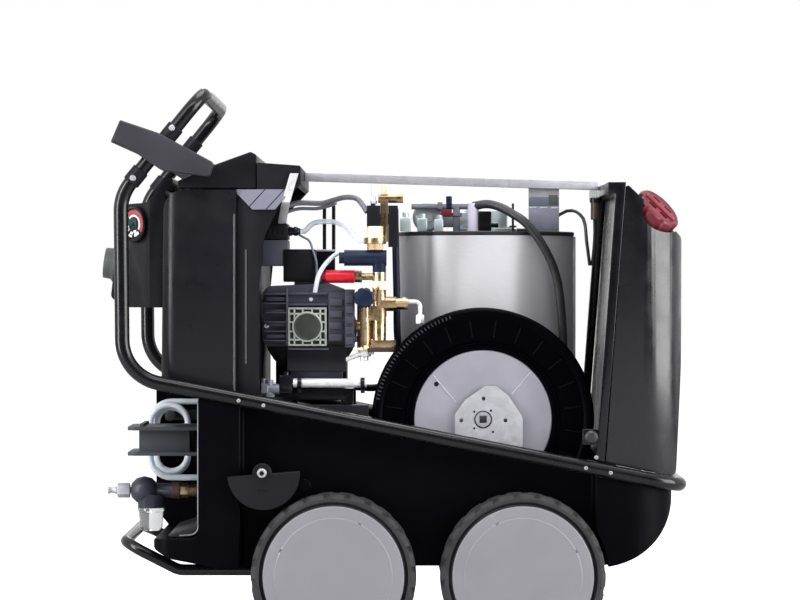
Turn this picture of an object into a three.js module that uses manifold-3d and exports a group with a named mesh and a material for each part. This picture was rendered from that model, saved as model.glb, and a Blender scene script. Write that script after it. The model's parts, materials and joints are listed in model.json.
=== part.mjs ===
// A mobile hot-water pressure washer with its side covers off, seen as a service technician sees it.
// Millimetres, +Z up. X runs along the machine: the push handle is at -X and the fuel tank at +X.
// Y runs across it, and -Y is the side with the hose reel. Z = 0 is the floor under the wheels.
import * as THREE from "three";
import { mergeVertices } from "three/addons/utils/BufferGeometryUtils.js";
import Module from "manifold-3d";

const wasm = await Module();
wasm.setup();

// ---------------------------------------------------------------- driving dimensions (mm)
const centreShift = 7.1; // puts the origin in the middle of the overall length
const seatGap = 0.3; // air between two pieces that touch
const runningGap = 0.6; // air round a piece that turns

const wheelRadius = 157;
const wheelDiscRadius = 139;
const tyreWidth = 80;
const treadDepth = 6;
const treadBlocks = 24;
const blockShare = 0.66; // of the tread pitch
const wheelSides = 24; // flats on the disc and in the tyre that holds it
const archAir = 8; // between a tyre and the tub
const axleRadius = 12.5;
const handleAxleX = -114;
const tankAxleX = 245;

const tubFloorZ = 170; // height of the underside of the chassis tub
const tubWall = 6;
const tubWaistHalf = 249; // half width between the wheels
const tubInnerHalf = tubWaistHalf - tubWall;
const tyreAir = 6; // between a tyre and the narrow part of the tub
const wheelOuterFace = tubWaistHalf + tyreAir + tyreWidth; // from the middle to the outside of a tyre
const tubNoseHalf = 290; // half width at both ends
const tubLeftX = -372;
const tubRightX = 537;
const lipX = -460;
const lipTopZ = 223.5;
const bayLeftX = -480; // closed compartment on the far side of the recess at the handle end
const bayNearY = 56;
const bayFarY = 284;
const noseInnerLeftX = -291;
const noseInnerRightX = 383;

const tubeRadius = 14;
const tubeHalfTrack = 290; // half the distance between the two side tubes
const tubeBend = 85;
const slopeStartX = -285;
const slopeStartZ = 490;
const slopeFall = 0.196; // fall of the side tube per millimetre towards the tank
const handleTopX = -362;
const handleTopZ = 1074;
const handleKneeX = -519.5;
const handleKneeZ = 880;
const handleJointShare = 0.52; // where the handle meets the side tube, along the sloped run
const bumperX = 549;
const bumperJointX = 468;
const bumperBend = 58;
const handleBend = 50;

const towerLeftX = -446;
const towerRightX = -301;
const towerTopZ = 891;
const towerLean = 6; // how far the tower's face leans back over its height
const towerAir = 6; // between the tower and a side tube
const towerHalf = tubeHalfTrack - tubeRadius - towerAir;
const towerWall = 5;
const bulkheadInset = 8; // from the tower's sides to the bulkhead's
const bulkheadHalf = towerHalf - bulkheadInset;
const bulkheadX = -258;

const boilerRadius = 176.5;
const boilerX = 185;
const boilerAir = 4.5; // between the boiler and the far wall of the tub
const boilerY = tubInnerHalf - boilerAir - boilerRadius;
const boilerBottomZ = 236;
const boilerTopZ = 806;
const lidHeight = 8;

const reelX = 171.6;
const reelZ = 450.4;
const reelRadius = 214;
const reelAir = 11; // between the reel and the near wall of the tub
const swivelSpace = 31.5; // between the reel and the boiler
const reelNearY = -tubInnerHalf + reelAir;
const reelFarY = boilerY - boilerRadius - swivelSpace;
const reelCoreRadius = 120;
const reelPlateRadius = 133;

const motorX = -164;
const motorZ = 620;
const motorRadius = 86;
const motorRibs = 16;
const motorFlangeRadius = 92;
const motorNearY = -112;
const motorFarY = 175;
const pumpNearY = -215;

const railHeight = 17;
const railWidth = 26;
const railLeftX = -178;
const railRightX = 408;
const railLeftZ = 924;
const railRightZ = 906;

// ---------------------------------------------------------------- colours and finishes
const finish = (color, roughness, metalness) =>
  new THREE.MeshStandardMaterial({ color, roughness, metalness });
const blackPlastic = finish(0x1c1c20, 0.45, 0);
const tubeBlack = finish(0x202024, 0.35, 0.2);
const rubber = finish(0x1b1b1d, 0.85, 0);
const wheelGrey = finish(0x9c9ba1, 0.5, 0);
const galvanised = finish(0xa6a8ad, 0.45, 0.8);
const stainless = finish(0xb9babd, 0.3, 1);
const brass = finish(0xc8a45e, 0.3, 1);
const redPlastic = finish(0xc32630, 0.4, 0);
const castGrey = finish(0x3b3b43, 0.6, 0.3);
const aluminium = finish(0x9fa19c, 0.45, 0.9);
const clearHose = finish(0xcfd6de, 0.3, 0);
const knobBlue = finish(0x222c42, 0.4, 0);
const reelGrey = finish(0xb3b4b9, 0.4, 0.5);
const smokedBowl = finish(0xb9bbbd, 0.2, 0);
const greyPlastic = finish(0x70747b, 0.5, 0);

// ---------------------------------------------------------------- solids
const vec = (x, y, z) => new THREE.Vector3(x, y, z);

/** A closed geometry as a solid: vertices merged, flat triangles dropped, faces turned outwards. */
function solid(geometry) {
  const bare = geometry.index ? geometry.toNonIndexed() : geometry.clone();
  for (const name of Object.keys(bare.attributes)) {
    if (name !== "position") bare.deleteAttribute(name);
  }
  const merged = mergeVertices(bare, 1e-3);
  const all = merged.index.array;
  const kept = [];
  for (let i = 0; i < all.length; i += 3) {
    const [a, b, c] = [all[i], all[i + 1], all[i + 2]];
    if (a !== b && b !== c && a !== c) kept.push(a, b, c);
  }
  const vertProperties = new Float32Array(merged.attributes.position.array);
  const build = (triVerts) =>
    new wasm.Manifold(new wasm.Mesh({ numProp: 3, vertProperties, triVerts: new Uint32Array(triVerts) }));
  const made = build(kept);
  if (made.volume() > 0) return made;
  for (let i = 0; i < kept.length; i += 3) [kept[i], kept[i + 1]] = [kept[i + 1], kept[i]];
  return build(kept);
}

/** A solid as a flat-shaded geometry. */
function geometryOf(made) {
  const mesh = made.getMesh();
  const position = new THREE.BufferAttribute(new Float32Array(mesh.vertProperties), 3);
  const indexed = new THREE.BufferGeometry().setAttribute("position", position);
  indexed.setIndex(new THREE.BufferAttribute(new Uint32Array(mesh.triVerts), 1));
  const flat = indexed.toNonIndexed();
  flat.computeVertexNormals();
  return flat;
}

const union = (...solids) => solids.reduce((sum, next) => sum.add(next));

function box(x0, x1, y0, y1, z0, z1) {
  const block = new THREE.BoxGeometry(x1 - x0, y1 - y0, z1 - z0);
  return solid(block.translate((x0 + x1) / 2, (y0 + y1) / 2, (z0 + z1) / 2));
}

/** A rod between two points. */
function rod(from, to, radius, segments = 16, endRadius = radius) {
  const along = to.clone().sub(from);
  const shaft = new THREE.CylinderGeometry(endRadius, radius, along.length(), segments);
  const turn = new THREE.Quaternion().setFromUnitVectors(vec(0, 1, 0), along.clone().normalize());
  const middle = from.clone().add(to).multiplyScalar(0.5);
  return solid(shaft.applyQuaternion(turn).translate(middle.x, middle.y, middle.z));
}

/** A turned piece: profile points are [radius, distance along the axis from base]. */
function turned(profile, base, axis, segments = 32) {
  const lathe = new THREE.LatheGeometry(profile.map(([r, a]) => new THREE.Vector2(r, a)), segments);
  const turn = new THREE.Quaternion().setFromUnitVectors(vec(0, 1, 0), axis.clone().normalize());
  return solid(lathe.applyQuaternion(turn).translate(base.x, base.y, base.z));
}

/** Rounds the corners of an outline. Each point is [a, b] or [a, b, corner radius]. */
function outline(points, steps = 4) {
  const rounded = [];
  points.forEach(([a, b, radius = 0], i) => {
    const here = new THREE.Vector2(a, b);
    if (!radius) {
      rounded.push(here);
      return;
    }
    const before = points[(i + points.length - 1) % points.length];
    const after = points[(i + 1) % points.length];
    const back = new THREE.Vector2(before[0], before[1]).sub(here).normalize();
    const on = new THREE.Vector2(after[0], after[1]).sub(here).normalize();
    const half = Math.acos(THREE.MathUtils.clamp(back.dot(on), -1, 1)) / 2;
    const reach = radius / Math.tan(half);
    const start = here.clone().addScaledVector(back, reach);
    const end = here.clone().addScaledVector(on, reach);
    const centre = here.clone().addScaledVector(back.clone().add(on).normalize(), radius / Math.sin(half));
    const from = start.clone().sub(centre).angle();
    let sweepAngle = end.clone().sub(centre).angle() - from;
    if (sweepAngle > Math.PI) sweepAngle -= 2 * Math.PI;
    if (sweepAngle < -Math.PI) sweepAngle += 2 * Math.PI;
    for (let s = 0; s <= steps; s += 1) {
      const angle = from + (sweepAngle * s) / steps;
      const spoke = new THREE.Vector2(Math.cos(angle), Math.sin(angle));
      rounded.push(centre.clone().addScaledVector(spoke, radius));
    }
  });
  return rounded;
}

function extruded(points, depth, xAxis, yAxis, origin, holes = []) {
  const shape = new THREE.Shape(points);
  holes.forEach((hole) => shape.holes.push(new THREE.Path(hole)));
  const block = new THREE.ExtrudeGeometry(shape, { depth, bevelEnabled: false });
  const frame = new THREE.Matrix4().makeBasis(xAxis, yAxis, xAxis.clone().cross(yAxis));
  return solid(block.applyMatrix4(frame.setPosition(origin)));
}

/** An outline in X and Z, extruded across the machine from y0 to y1. */
const across = (points, y0, y1, holes) =>
  extruded(points, y1 - y0, vec(1, 0, 0), vec(0, 0, 1), vec(0, y1, 0), holes);

/** An outline in X and Y, extruded upwards from z0 to z1. */
const upwards = (points, z0, z1, holes) =>
  extruded(points, z1 - z0, vec(1, 0, 0), vec(0, 1, 0), vec(0, 0, z0), holes);

const circle = (a, b, radius, segments = 24) =>
  Array.from({ length: segments }, (_, i) => {
    const angle = (2 * Math.PI * i) / segments;
    return new THREE.Vector2(a + radius * Math.cos(angle), b + radius * Math.sin(angle));
  });

/** A round tube that follows a list of points, square at both ends. */
function sweep(points, radius, sides = 10) {
  const position = [];
  const index = [];
  let side = Math.abs(points[1].clone().sub(points[0]).normalize().z) > 0.9 ? vec(1, 0, 0) : vec(0, 0, 1);
  points.forEach((point, i) => {
    const ahead = points[Math.min(i + 1, points.length - 1)];
    const behind = points[Math.max(i - 1, 0)];
    const along = ahead.clone().sub(behind).normalize();
    side = side.clone().addScaledVector(along, -side.dot(along)).normalize();
    const other = along.clone().cross(side);
    for (let k = 0; k < sides; k += 1) {
      const angle = (2 * Math.PI * k) / sides;
      const rim = point.clone().addScaledVector(side, radius * Math.cos(angle));
      rim.addScaledVector(other, radius * Math.sin(angle));
      position.push(rim.x, rim.y, rim.z);
    }
    if (i === 0) return;
    for (let k = 0; k < sides; k += 1) {
      const [a, b] = [(i - 1) * sides + k, (i - 1) * sides + ((k + 1) % sides)];
      index.push(a, b, b + sides, a, b + sides, a + sides);
    }
  });
  const last = (points.length - 1) * sides;
  for (let k = 1; k < sides - 1; k += 1) {
    index.push(0, k + 1, k, last, last + k, last + k + 1);
  }
  const tube = new THREE.BufferGeometry();
  tube.setAttribute("position", new THREE.Float32BufferAttribute(position, 3));
  tube.setIndex(index);
  return solid(tube);
}

/** The centreline of a bent tube: straight runs joined by arcs of one radius. */
function bentLine(corners, bend, steps = 6) {
  const line = [corners[0]];
  for (let i = 1; i < corners.length - 1; i += 1) {
    const back = corners[i - 1].clone().sub(corners[i]).normalize();
    const on = corners[i + 1].clone().sub(corners[i]).normalize();
    const half = back.angleTo(on) / 2;
    const inward = back.clone().add(on).normalize();
    const centre = corners[i].clone().addScaledVector(inward, bend / Math.sin(half));
    const start = corners[i].clone().addScaledVector(back, bend / Math.tan(half)).sub(centre);
    const axis = back.clone().cross(on).normalize();
    for (let s = 0; s <= steps; s += 1) {
      const turn = (-(Math.PI - 2 * half) * s) / steps;
      line.push(start.clone().applyAxisAngle(axis, turn).add(centre));
    }
  }
  line.push(corners[corners.length - 1]);
  return line;
}

const bentTube = (corners, bend, radius, sides = 10, steps = 5) =>
  sweep(bentLine(corners, bend, steps), radius, sides);

/** A hose on a smooth curve through the points. */
function hose(points, radius, sides = 8, steps = 24) {
  const curve = new THREE.CatmullRomCurve3(points, false, "centripetal");
  return sweep(curve.getSpacedPoints(steps), radius, sides);
}

// ---------------------------------------------------------------- the machine
const machine = new THREE.Group();
machine.position.x = centreShift;

function add(name, made, material) {
  const mesh = new THREE.Mesh(geometryOf(made), material);
  mesh.name = name;
  machine.add(mesh);
}

const slopeZ = (x) => slopeStartZ - slopeFall * (x - slopeStartX);
// From the centre of a sloping tube to what rests on it, measured straight up.
const tubeClear = (tubeRadius + seatGap) * Math.hypot(1, slopeFall);
// A tread block lies flat on the floor.
const axleZ = wheelRadius * Math.cos((Math.PI / treadBlocks) * blockShare);

// Chassis tub: open at the top, narrow between the wheels, wide at both ends.
function chassisTub() {
  const noseCurve = (inset) =>
    [0, 1, 2, 3, 4, 5, 6].map((i) => {
      const angle = (-Math.PI / 2) * (1 - i / 6);
      const [rx, rz] = [152 - inset, 142 - inset];
      return [tubRightX - 152 + rx * Math.cos(angle), tubFloorZ + 142 + rz * Math.sin(angle)];
    });
  const rimZ = (x) => slopeZ(x) - tubeClear;
  const side = outline([
    [lipX, lipTopZ, 5],
    [lipX, 205, 12],
    [-428, 187, 40],
    [-340, tubFloorZ, 90],
    ...noseCurve(0),
    [tubRightX, rimZ(tubRightX)],
    [tubLeftX, rimZ(tubLeftX)],
    [tubLeftX, lipTopZ, 18],
  ]);
  const plan = outline([
    [lipX, -tubNoseHalf, 40],
    [noseInnerLeftX, -tubNoseHalf, 6],
    [noseInnerLeftX, -tubWaistHalf, 6],
    [noseInnerRightX, -tubWaistHalf, 6],
    [noseInnerRightX, -tubNoseHalf, 6],
    [tubRightX, -tubNoseHalf, 90],
    [tubRightX, tubNoseHalf, 90],
    [noseInnerRightX, tubNoseHalf, 6],
    [noseInnerRightX, tubWaistHalf, 6],
    [noseInnerLeftX, tubWaistHalf, 6],
    [noseInnerLeftX, tubNoseHalf, 6],
    [lipX, tubNoseHalf, 40],
  ]);
  const arch = (x, radius, y0, y1) => {
    const near = rod(vec(x, y0, axleZ), vec(x, y1, axleZ), radius, 32);
    const far = rod(vec(x, -y1, axleZ), vec(x, -y0, axleZ), radius, 32);
    return near.add(far);
  };
  const outside = across(side, -tubNoseHalf, tubNoseHalf)
    .intersect(upwards(plan, 100, 600))
    .subtract(arch(tankAxleX, wheelRadius + archAir, -tubNoseHalf - 5, -tubWaistHalf));
  const insideSide = outline([
    [tubLeftX + tubWall, tubFloorZ + tubWall, 20],
    ...noseCurve(tubWall),
    [tubRightX - tubWall, 600],
    [tubLeftX + tubWall, 600],
  ]);
  const [waist, nose] = [tubInnerHalf, tubNoseHalf - tubWall];
  const insidePlan = outline([
    [tubLeftX, -nose],
    [noseInnerLeftX - tubWall, -nose],
    [noseInnerLeftX - tubWall, -waist],
    [noseInnerRightX + tubWall, -waist],
    [noseInnerRightX + tubWall, -nose],
    [tubRightX - tubWall, -nose, 84],
    [tubRightX - tubWall, nose, 84],
    [noseInnerRightX + tubWall, nose],
    [noseInnerRightX + tubWall, waist],
    [noseInnerLeftX - tubWall, waist],
    [noseInnerLeftX - tubWall, nose],
    [tubLeftX, nose],
  ]);
  const inside = across(insideSide, -nose, nose)
    .intersect(upwards(insidePlan, 100, 620))
    .subtract(arch(tankAxleX, wheelRadius + archAir + tubWall, -tubNoseHalf - 5, -waist));
  let tub = outside.subtract(inside);
  for (const x of [handleAxleX, tankAxleX]) {
    tub = tub.add(box(x - 30, x + 30, -tubWaistHalf, tubWaistHalf, axleZ - 26, tubFloorZ + 3));
    tub = tub.subtract(rod(vec(x, -400, axleZ), vec(x, 400, axleZ), axleRadius + seatGap));
  }
  const pinRoot = vec(brakeX, -tubWaistHalf + 2, brakeZ);
  const pinEnd = vec(brakeX, brakeNearY - 3, brakeZ);
  return tub.add(rod(pinRoot, pinEnd, brakePinRadius)).add(recessBay(rimZ));
}

// The compartment is open at the top, where the tower stands on it.
function recessBay(rimZ) {
  const floorZ = lipTopZ - 8;
  const [lidX, meetX] = [-444, tubLeftX + 3];
  const outer = outline([
    [bayLeftX, rimZ(bayLeftX)],
    [bayLeftX, 300, 60],
    [bayLeftX + 12, 240, 12],
    [bayLeftX + 32, floorZ, 8],
    [meetX, floorZ],
    [meetX, rimZ(meetX)],
  ]);
  const inner = outline([
    [bayLeftX + tubWall, rimZ(bayLeftX + tubWall) - tubWall],
    [bayLeftX + tubWall, 302, 54],
    [bayLeftX + tubWall + 11, 244, 8],
    [bayLeftX + tubWall + 28, floorZ + tubWall],
    [tubLeftX, floorZ + tubWall],
    [tubLeftX, 600],
    [lidX, 600],
    [lidX, rimZ(lidX) - tubWall],
  ]);
  return across(outer, bayNearY, bayFarY).subtract(across(inner, bayNearY + tubWall, bayFarY - tubWall));
}

// Side tubes, handle, bumper and foot bar.
const kneeToTop = vec(handleTopX - handleKneeX, 0, handleTopZ - handleKneeZ);
const handleJoint = (y) => vec(handleKneeX, y, handleKneeZ).addScaledVector(kneeToTop, handleJointShare);
const heelX = -516;

function sideTube(y) {
  const corners = [
    handleJoint(y),
    vec(handleKneeX, y, handleKneeZ),
    vec(heelX, y, slopeZ(heelX)),
    vec(bumperJointX, y, slopeZ(bumperJointX)),
  ];
  return bentTube(corners, tubeBend, tubeRadius);
}

function pushHandle() {
  const ahead = kneeToTop.clone().normalize().multiplyScalar(seatGap);
  const [near, far] = [-tubeHalfTrack, tubeHalfTrack];
  const corners = [
    handleJoint(near).add(ahead),
    vec(handleTopX, near, handleTopZ),
    vec(handleTopX, far, handleTopZ),
    handleJoint(far).add(ahead),
  ];
  return bentTube(corners, handleBend, tubeRadius);
}

function bumperBar() {
  const [near, far] = [-tubeHalfTrack, tubeHalfTrack];
  const startX = bumperJointX + seatGap;
  const corners = [
    vec(startX, near, slopeZ(startX)),
    vec(bumperX, near, slopeZ(bumperX)),
    vec(bumperX, far, slopeZ(bumperX)),
    vec(startX, far, slopeZ(startX)),
  ];
  return bentTube(corners, bumperBend, tubeRadius);
}

const footBarRadius = 11;
const footBarHalf = 212;
function footBar() {
  const z = tubFloorZ - footBarRadius - seatGap;
  const butt = handleAxleX - 30 - seatGap;
  const leg = (y) => [vec(butt, y, z), vec(-415, y, z), vec(-520, y, 212)];
  return bentTube([...leg(-footBarHalf), ...leg(footBarHalf).reverse()], 45, footBarRadius, 8, 4);
}

// A horn on each side tube, to hang the hose or the cable on.
const hornHalfWidth = 20;
function hoseHorn(y) {
  const profile = outline([
    [-537, 980, 3],
    [-519, 1022, 3],
    [-445, 997, 24],
    [-341, 941, 6],
    [-350, 914, 6],
    [-440, 926, 14],
    [-486, 957, 16],
  ]);
  const tube = bentTube(
    [vec(handleTopX, y, handleTopZ), vec(handleKneeX, y, handleKneeZ), vec(heelX, y, slopeZ(heelX))],
    tubeBend,
    tubeRadius + seatGap,
  );
  const outward = Math.sign(y) * 4;
  return across(profile, y + outward - hornHalfWidth, y + outward + hornHalfWidth).subtract(tube);
}

// Wheels: a toothed tyre on a dished plastic disc that turns on the axle.
function tyre(x, outward) {
  const inner = wheelOuterFace - tyreWidth;
  const tread = [];
  for (let i = 0; i < treadBlocks; i += 1) {
    const pitch = (2 * Math.PI) / treadBlocks;
    for (const [share, radius] of [
      [0, wheelRadius],
      [blockShare, wheelRadius],
      [blockShare + 0.06, wheelRadius - treadDepth],
      [0.94, wheelRadius - treadDepth],
    ]) {
      const angle = pitch * (i + share - blockShare / 2) - Math.PI / 2;
      tread.push(new THREE.Vector2(x + radius * Math.cos(angle), axleZ + radius * Math.sin(angle)));
    }
  }
  const bore = circle(x, axleZ, wheelDiscRadius + seatGap, wheelSides);
  const [a, b] = [outward * inner, outward * wheelOuterFace];
  return across(tread, Math.min(a, b), Math.max(a, b), [bore]);
}

function wheelDisc(x, outward) {
  const inner = wheelOuterFace - tyreWidth;
  const hubRadius = 26;
  const bore = axleRadius + runningGap;
  const profile = [
    [bore, 4],
    [hubRadius, 4],
    [hubRadius, 46],
    [wheelDiscRadius - 12, 40],
    [wheelDiscRadius - 12, 2],
    [wheelDiscRadius, 2],
    [wheelDiscRadius, tyreWidth - 3],
    [110, tyreWidth],
    [0, tyreWidth - 2],
    [0, 66],
    [bore, 66],
    [bore, 4],
  ];
  return turned(profile, vec(x, outward * inner, axleZ), vec(0, outward, 0), wheelSides);
}

const axleHalf = wheelOuterFace - tyreWidth + 64;
const axle = (x) => rod(vec(x, -axleHalf, axleZ), vec(x, axleHalf, axleZ), axleRadius);

// Parking brake: a half-round pedal whose shoe swings down on the tyre.
const brakeX = -250;
const brakeZ = 352;
const brakePinRadius = 9;
const brakeNearY = -tubNoseHalf - 22;
const brakeFarY = -tubNoseHalf - 1;
function brakePedal() {
  const pedalRadius = 69;
  const pedalTilt = 0.08; // radians that the straight edge climbs towards the handle
  const pedalCentre = new THREE.Vector2(brakeX + 3, brakeZ - 2);
  const half = [];
  for (let i = 0; i <= 16; i += 1) {
    const angle = Math.PI + (Math.PI * i) / 16 + pedalTilt;
    const spoke = new THREE.Vector2(Math.cos(angle), Math.sin(angle));
    half.push(pedalCentre.clone().addScaledVector(spoke, pedalRadius));
  }
  const shoeX = brakeX + 80;
  const shoeZ = brakeZ - 24;
  return across(half, brakeNearY, brakeFarY)
    .add(rod(vec(brakeX, brakeNearY, brakeZ), vec(brakeX, brakeFarY, brakeZ), 18))
    .add(rod(vec(shoeX, brakeNearY + 6, shoeZ), vec(shoeX, brakeFarY, shoeZ), 12, 16))
    .subtract(rod(vec(brakeX, -400, brakeZ), vec(brakeX, -200, brakeZ), brakePinRadius + runningGap));
}

// Hose reel: an empty drum between two lipped flanges.
const spindleRadius = 15;
function reelDrum() {
  const width = reelFarY - reelNearY;
  const profile = [
    [reelPlateRadius + 1, 0],
    [reelRadius - 18, 0],
    [reelRadius - 14, -4],
    [reelRadius, 2],
    [reelRadius, 8],
    [reelCoreRadius, 7],
    [reelCoreRadius, width - 7],
    [reelRadius, width - 7],
    [reelRadius, width],
    [spindleRadius + seatGap, width],
    [spindleRadius + seatGap, width - 7],
    [reelCoreRadius - 6, width - 7],
    [reelCoreRadius - 6, 12],
    [reelPlateRadius + 1, 6],
    [reelPlateRadius + 1, 0],
  ];
  return turned(profile, vec(reelX, reelNearY, reelZ), vec(0, 1, 0), 32);
}

function reelHub() {
  const plate = turned(
    [
      [0, 1],
      [reelPlateRadius, 1],
      [reelPlateRadius, 5],
      [reelCoreRadius - 8, 5],
      [reelCoreRadius - 8, 12],
      [spindleRadius, 12],
      [spindleRadius, reelFarY - reelNearY + 8],
      [0, reelFarY - reelNearY + 8],
    ],
    vec(reelX, reelNearY, reelZ),
    vec(0, 1, 0),
    32,
  );
  const boss = rod(vec(reelX, reelNearY - 10, reelZ), vec(reelX, reelNearY + 2, reelZ), spindleRadius);
  const socket = box(reelX - 7, reelX + 7, reelNearY - 20, reelNearY + 8, reelZ - 7, reelZ + 7);
  return plate.add(boss).subtract(socket);
}

const bearingPlateY = reelNearY - 5;
function reelBearingPlate() {
  const bottomZ = slopeZ(reelX) - 60;
  const [leftX, rightX] = [reelX - 54, reelX + 76];
  const profile = outline([
    [leftX, bottomZ],
    [rightX, bottomZ],
    [rightX, reelZ + 4, 10],
    [reelX + 48, reelZ + 46, 30],
    [reelX + 26, reelZ + 64, 12],
    [reelX + 4, reelZ + 64, 12],
    [reelX - 35, reelZ + 37, 20],
    [leftX, reelZ + 9, 10],
  ]);
  const holes = [
    circle(reelX, reelZ, spindleRadius + runningGap),
    circle(reelX + 1, reelZ + 40, 4, 10),
    circle(reelX - 42, reelZ - 2, 4, 10),
    circle(reelX + 43, reelZ - 2, 4, 10),
  ];
  const plate = across(profile, bearingPlateY - 4, bearingPlateY, holes);
  // The foot fills the space to the tub's wall up to the rim, so the face above it is free.
  const overRim = (x) => new THREE.Vector2(x, slopeZ(x) - tubeClear + 1);
  const footOutline = [
    new THREE.Vector2(leftX, bottomZ),
    new THREE.Vector2(rightX, bottomZ),
    overRim(rightX),
    overRim(leftX),
  ];
  return plate.add(across(footOutline, -tubInnerHalf + seatGap, bearingPlateY));
}

// Far bearing of the reel with the high-pressure swivel.
const swivelY = reelFarY + 15.5;
const tubSeatZ = tubFloorZ + tubWall + seatGap; // what stands on the floor of the tub starts here
function reelSwivelBracket() {
  const legY = reelFarY + 4;
  const at = (y) => vec(reelX, y, reelZ);
  const leg = box(reelX - 22, reelX + 22, legY, legY + 5, tubSeatZ, reelZ + 30);
  const foot = box(reelX - 40, reelX + 40, legY, legY + 18, tubSeatZ, tubFloorZ + 12);
  const swivel = rod(at(legY + 4), at(reelFarY + 25), 16);
  const port = rod(at(swivelY), at(swivelY).setX(reelX + 40), 8, 12);
  const hole = rod(at(reelFarY), at(legY + 4 + seatGap), spindleRadius + runningGap);
  return union(leg, foot, swivel, port).subtract(hole);
}

// Heater.
function boilerShell() {
  const profile = [
    [0, boilerBottomZ],
    [boilerRadius, boilerBottomZ],
    [boilerRadius, boilerTopZ],
    [boilerRadius - 3, boilerTopZ],
    [boilerRadius - 3, boilerBottomZ + 4],
    [0, boilerBottomZ + 4],
  ];
  const can = turned(profile, vec(boilerX, boilerY, 0), vec(0, 0, 1), 36);
  let shell = can;
  for (const angle of [30, 150, 270]) {
    const reach = 120;
    const x = boilerX + reach * Math.cos(THREE.MathUtils.degToRad(angle));
    const y = boilerY + reach * Math.sin(THREE.MathUtils.degToRad(angle));
    shell = shell.add(rod(vec(x, y, tubSeatZ), vec(x, y, boilerBottomZ + 1), 14, 12));
  }
  const seamX = boilerX + boilerRadius;
  const seam = box(seamX - 4, seamX + 5, boilerY - 6, boilerY + 6, boilerBottomZ, boilerTopZ);
  const core = rod(vec(boilerX, boilerY, 0), vec(boilerX, boilerY, boilerTopZ + 94), boilerRadius - 2, 36);
  return shell.add(seam.subtract(core));
}

function boilerLid() {
  const z = boilerTopZ + seatGap;
  const profile = [
    [40, z],
    [boilerRadius + 2, z],
    [boilerRadius + 2, z + lidHeight],
    [40, z + lidHeight],
    [40, z],
  ];
  return turned(profile, vec(boilerX, boilerY, 0), vec(0, 0, 1), 36);
}

// Burner on the lid, with its fan, the atomiser pipe and the igniter box.
const lidTopZ = boilerTopZ + seatGap + lidHeight;
function burnerHead() {
  const z = lidTopZ + seatGap;
  const flange = rod(vec(boilerX, boilerY, z), vec(boilerX, boilerY, z + 8), 62, 24);
  const housing = rod(vec(boilerX, boilerY, z + 7), vec(boilerX, boilerY, z + 46), 44, 20);
  const duct = box(boilerX - 130, boilerX - 20, boilerY - 26, boilerY + 26, z + 10, z + 40);
  const [fanX, fanZ, fanHalf] = [boilerX - 118, z + 30, 50];
  const fan = rod(vec(fanX, boilerY - fanHalf, fanZ), vec(fanX, boilerY + fanHalf, fanZ), 29.5, 16);
  const [pipeY, pipeZ] = [boilerY - 60, z + 48];
  const pipe = rod(vec(boilerX - 150, pipeY, pipeZ), vec(boilerX - 10, pipeY, pipeZ), 7, 12);
  const riser = rod(vec(boilerX - 60, pipeY, z), vec(boilerX - 60, pipeY, pipeZ), 8, 12);
  const tie = rod(vec(boilerX - 20, pipeY, pipeZ), vec(boilerX - 20, boilerY, z + 42), 6, 10);
  const igniter = box(boilerX - 18, boilerX + 8, boilerY - 128, boilerY - 96, z, z + 40);
  const plug = rod(vec(boilerX + 7, boilerY - 112, z + 12), vec(boilerX + 22, boilerY - 112, z + 12), 5, 10);
  const strip = box(boilerX - 12, boilerX + 2, boilerY - 98, boilerY - 56, z, z + 6);
  return union(flange, housing, duct, fan, pipe, riser, tie, igniter, plug, strip);
}

// High-pressure hose from the boiler's coil down to the swivel of the reel.
const pressureHoseRadius = 8.5;
const riserX = 156;
const riserY = -60;
function pressureHose() {
  const points = [
    vec(riserX, riserY, lidTopZ + 50),
    vec(184, -68, 868),
    vec(209, -82, 862),
    vec(234, -95, 848),
    vec(257, -105, 832),
    vec(289, -112, 791),
    vec(318, -110, 728),
    vec(330, -106, 640),
    vec(332, -106, 580),
    vec(326, -108, 520),
    vec(300, -118, 474),
    vec(258, swivelY, 453),
    vec(reelX + 62, swivelY, reelZ),
    vec(reelX + 40.6, swivelY, reelZ),
  ];
  const riser = rod(vec(riserX, riserY, lidTopZ + seatGap), vec(riserX, riserY, lidTopZ + 56), 10, 12);
  return hose(points, pressureHoseRadius, 8, 28).add(riser);
}

// Galvanised rail that ties the tower to the tank arch, with the boiler's bracket.
const railZ = (x) => railLeftZ + ((railRightZ - railLeftZ) * (x - railLeftX)) / (railRightX - railLeftX);
function topRail() {
  const h = railHeight / 2;
  const bar = across(
    [
      [railLeftX, railZ(railLeftX) - h],
      [railRightX, railZ(railRightX) - h],
      [railRightX, railZ(railRightX) + h],
      [railLeftX, railZ(railLeftX) + h],
    ].map(([a, b]) => new THREE.Vector2(a, b)),
    -railWidth / 2,
    railWidth / 2,
  );
  const [x0, x1] = [269, 330];
  const strap = box(x0, x1, -2, 1, lidTopZ + seatGap, railZ(300));
  const foot = box(x0, x1, -2, 22, lidTopZ + seatGap, lidTopZ + 3);
  return union(bar, strap, foot);
}

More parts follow.
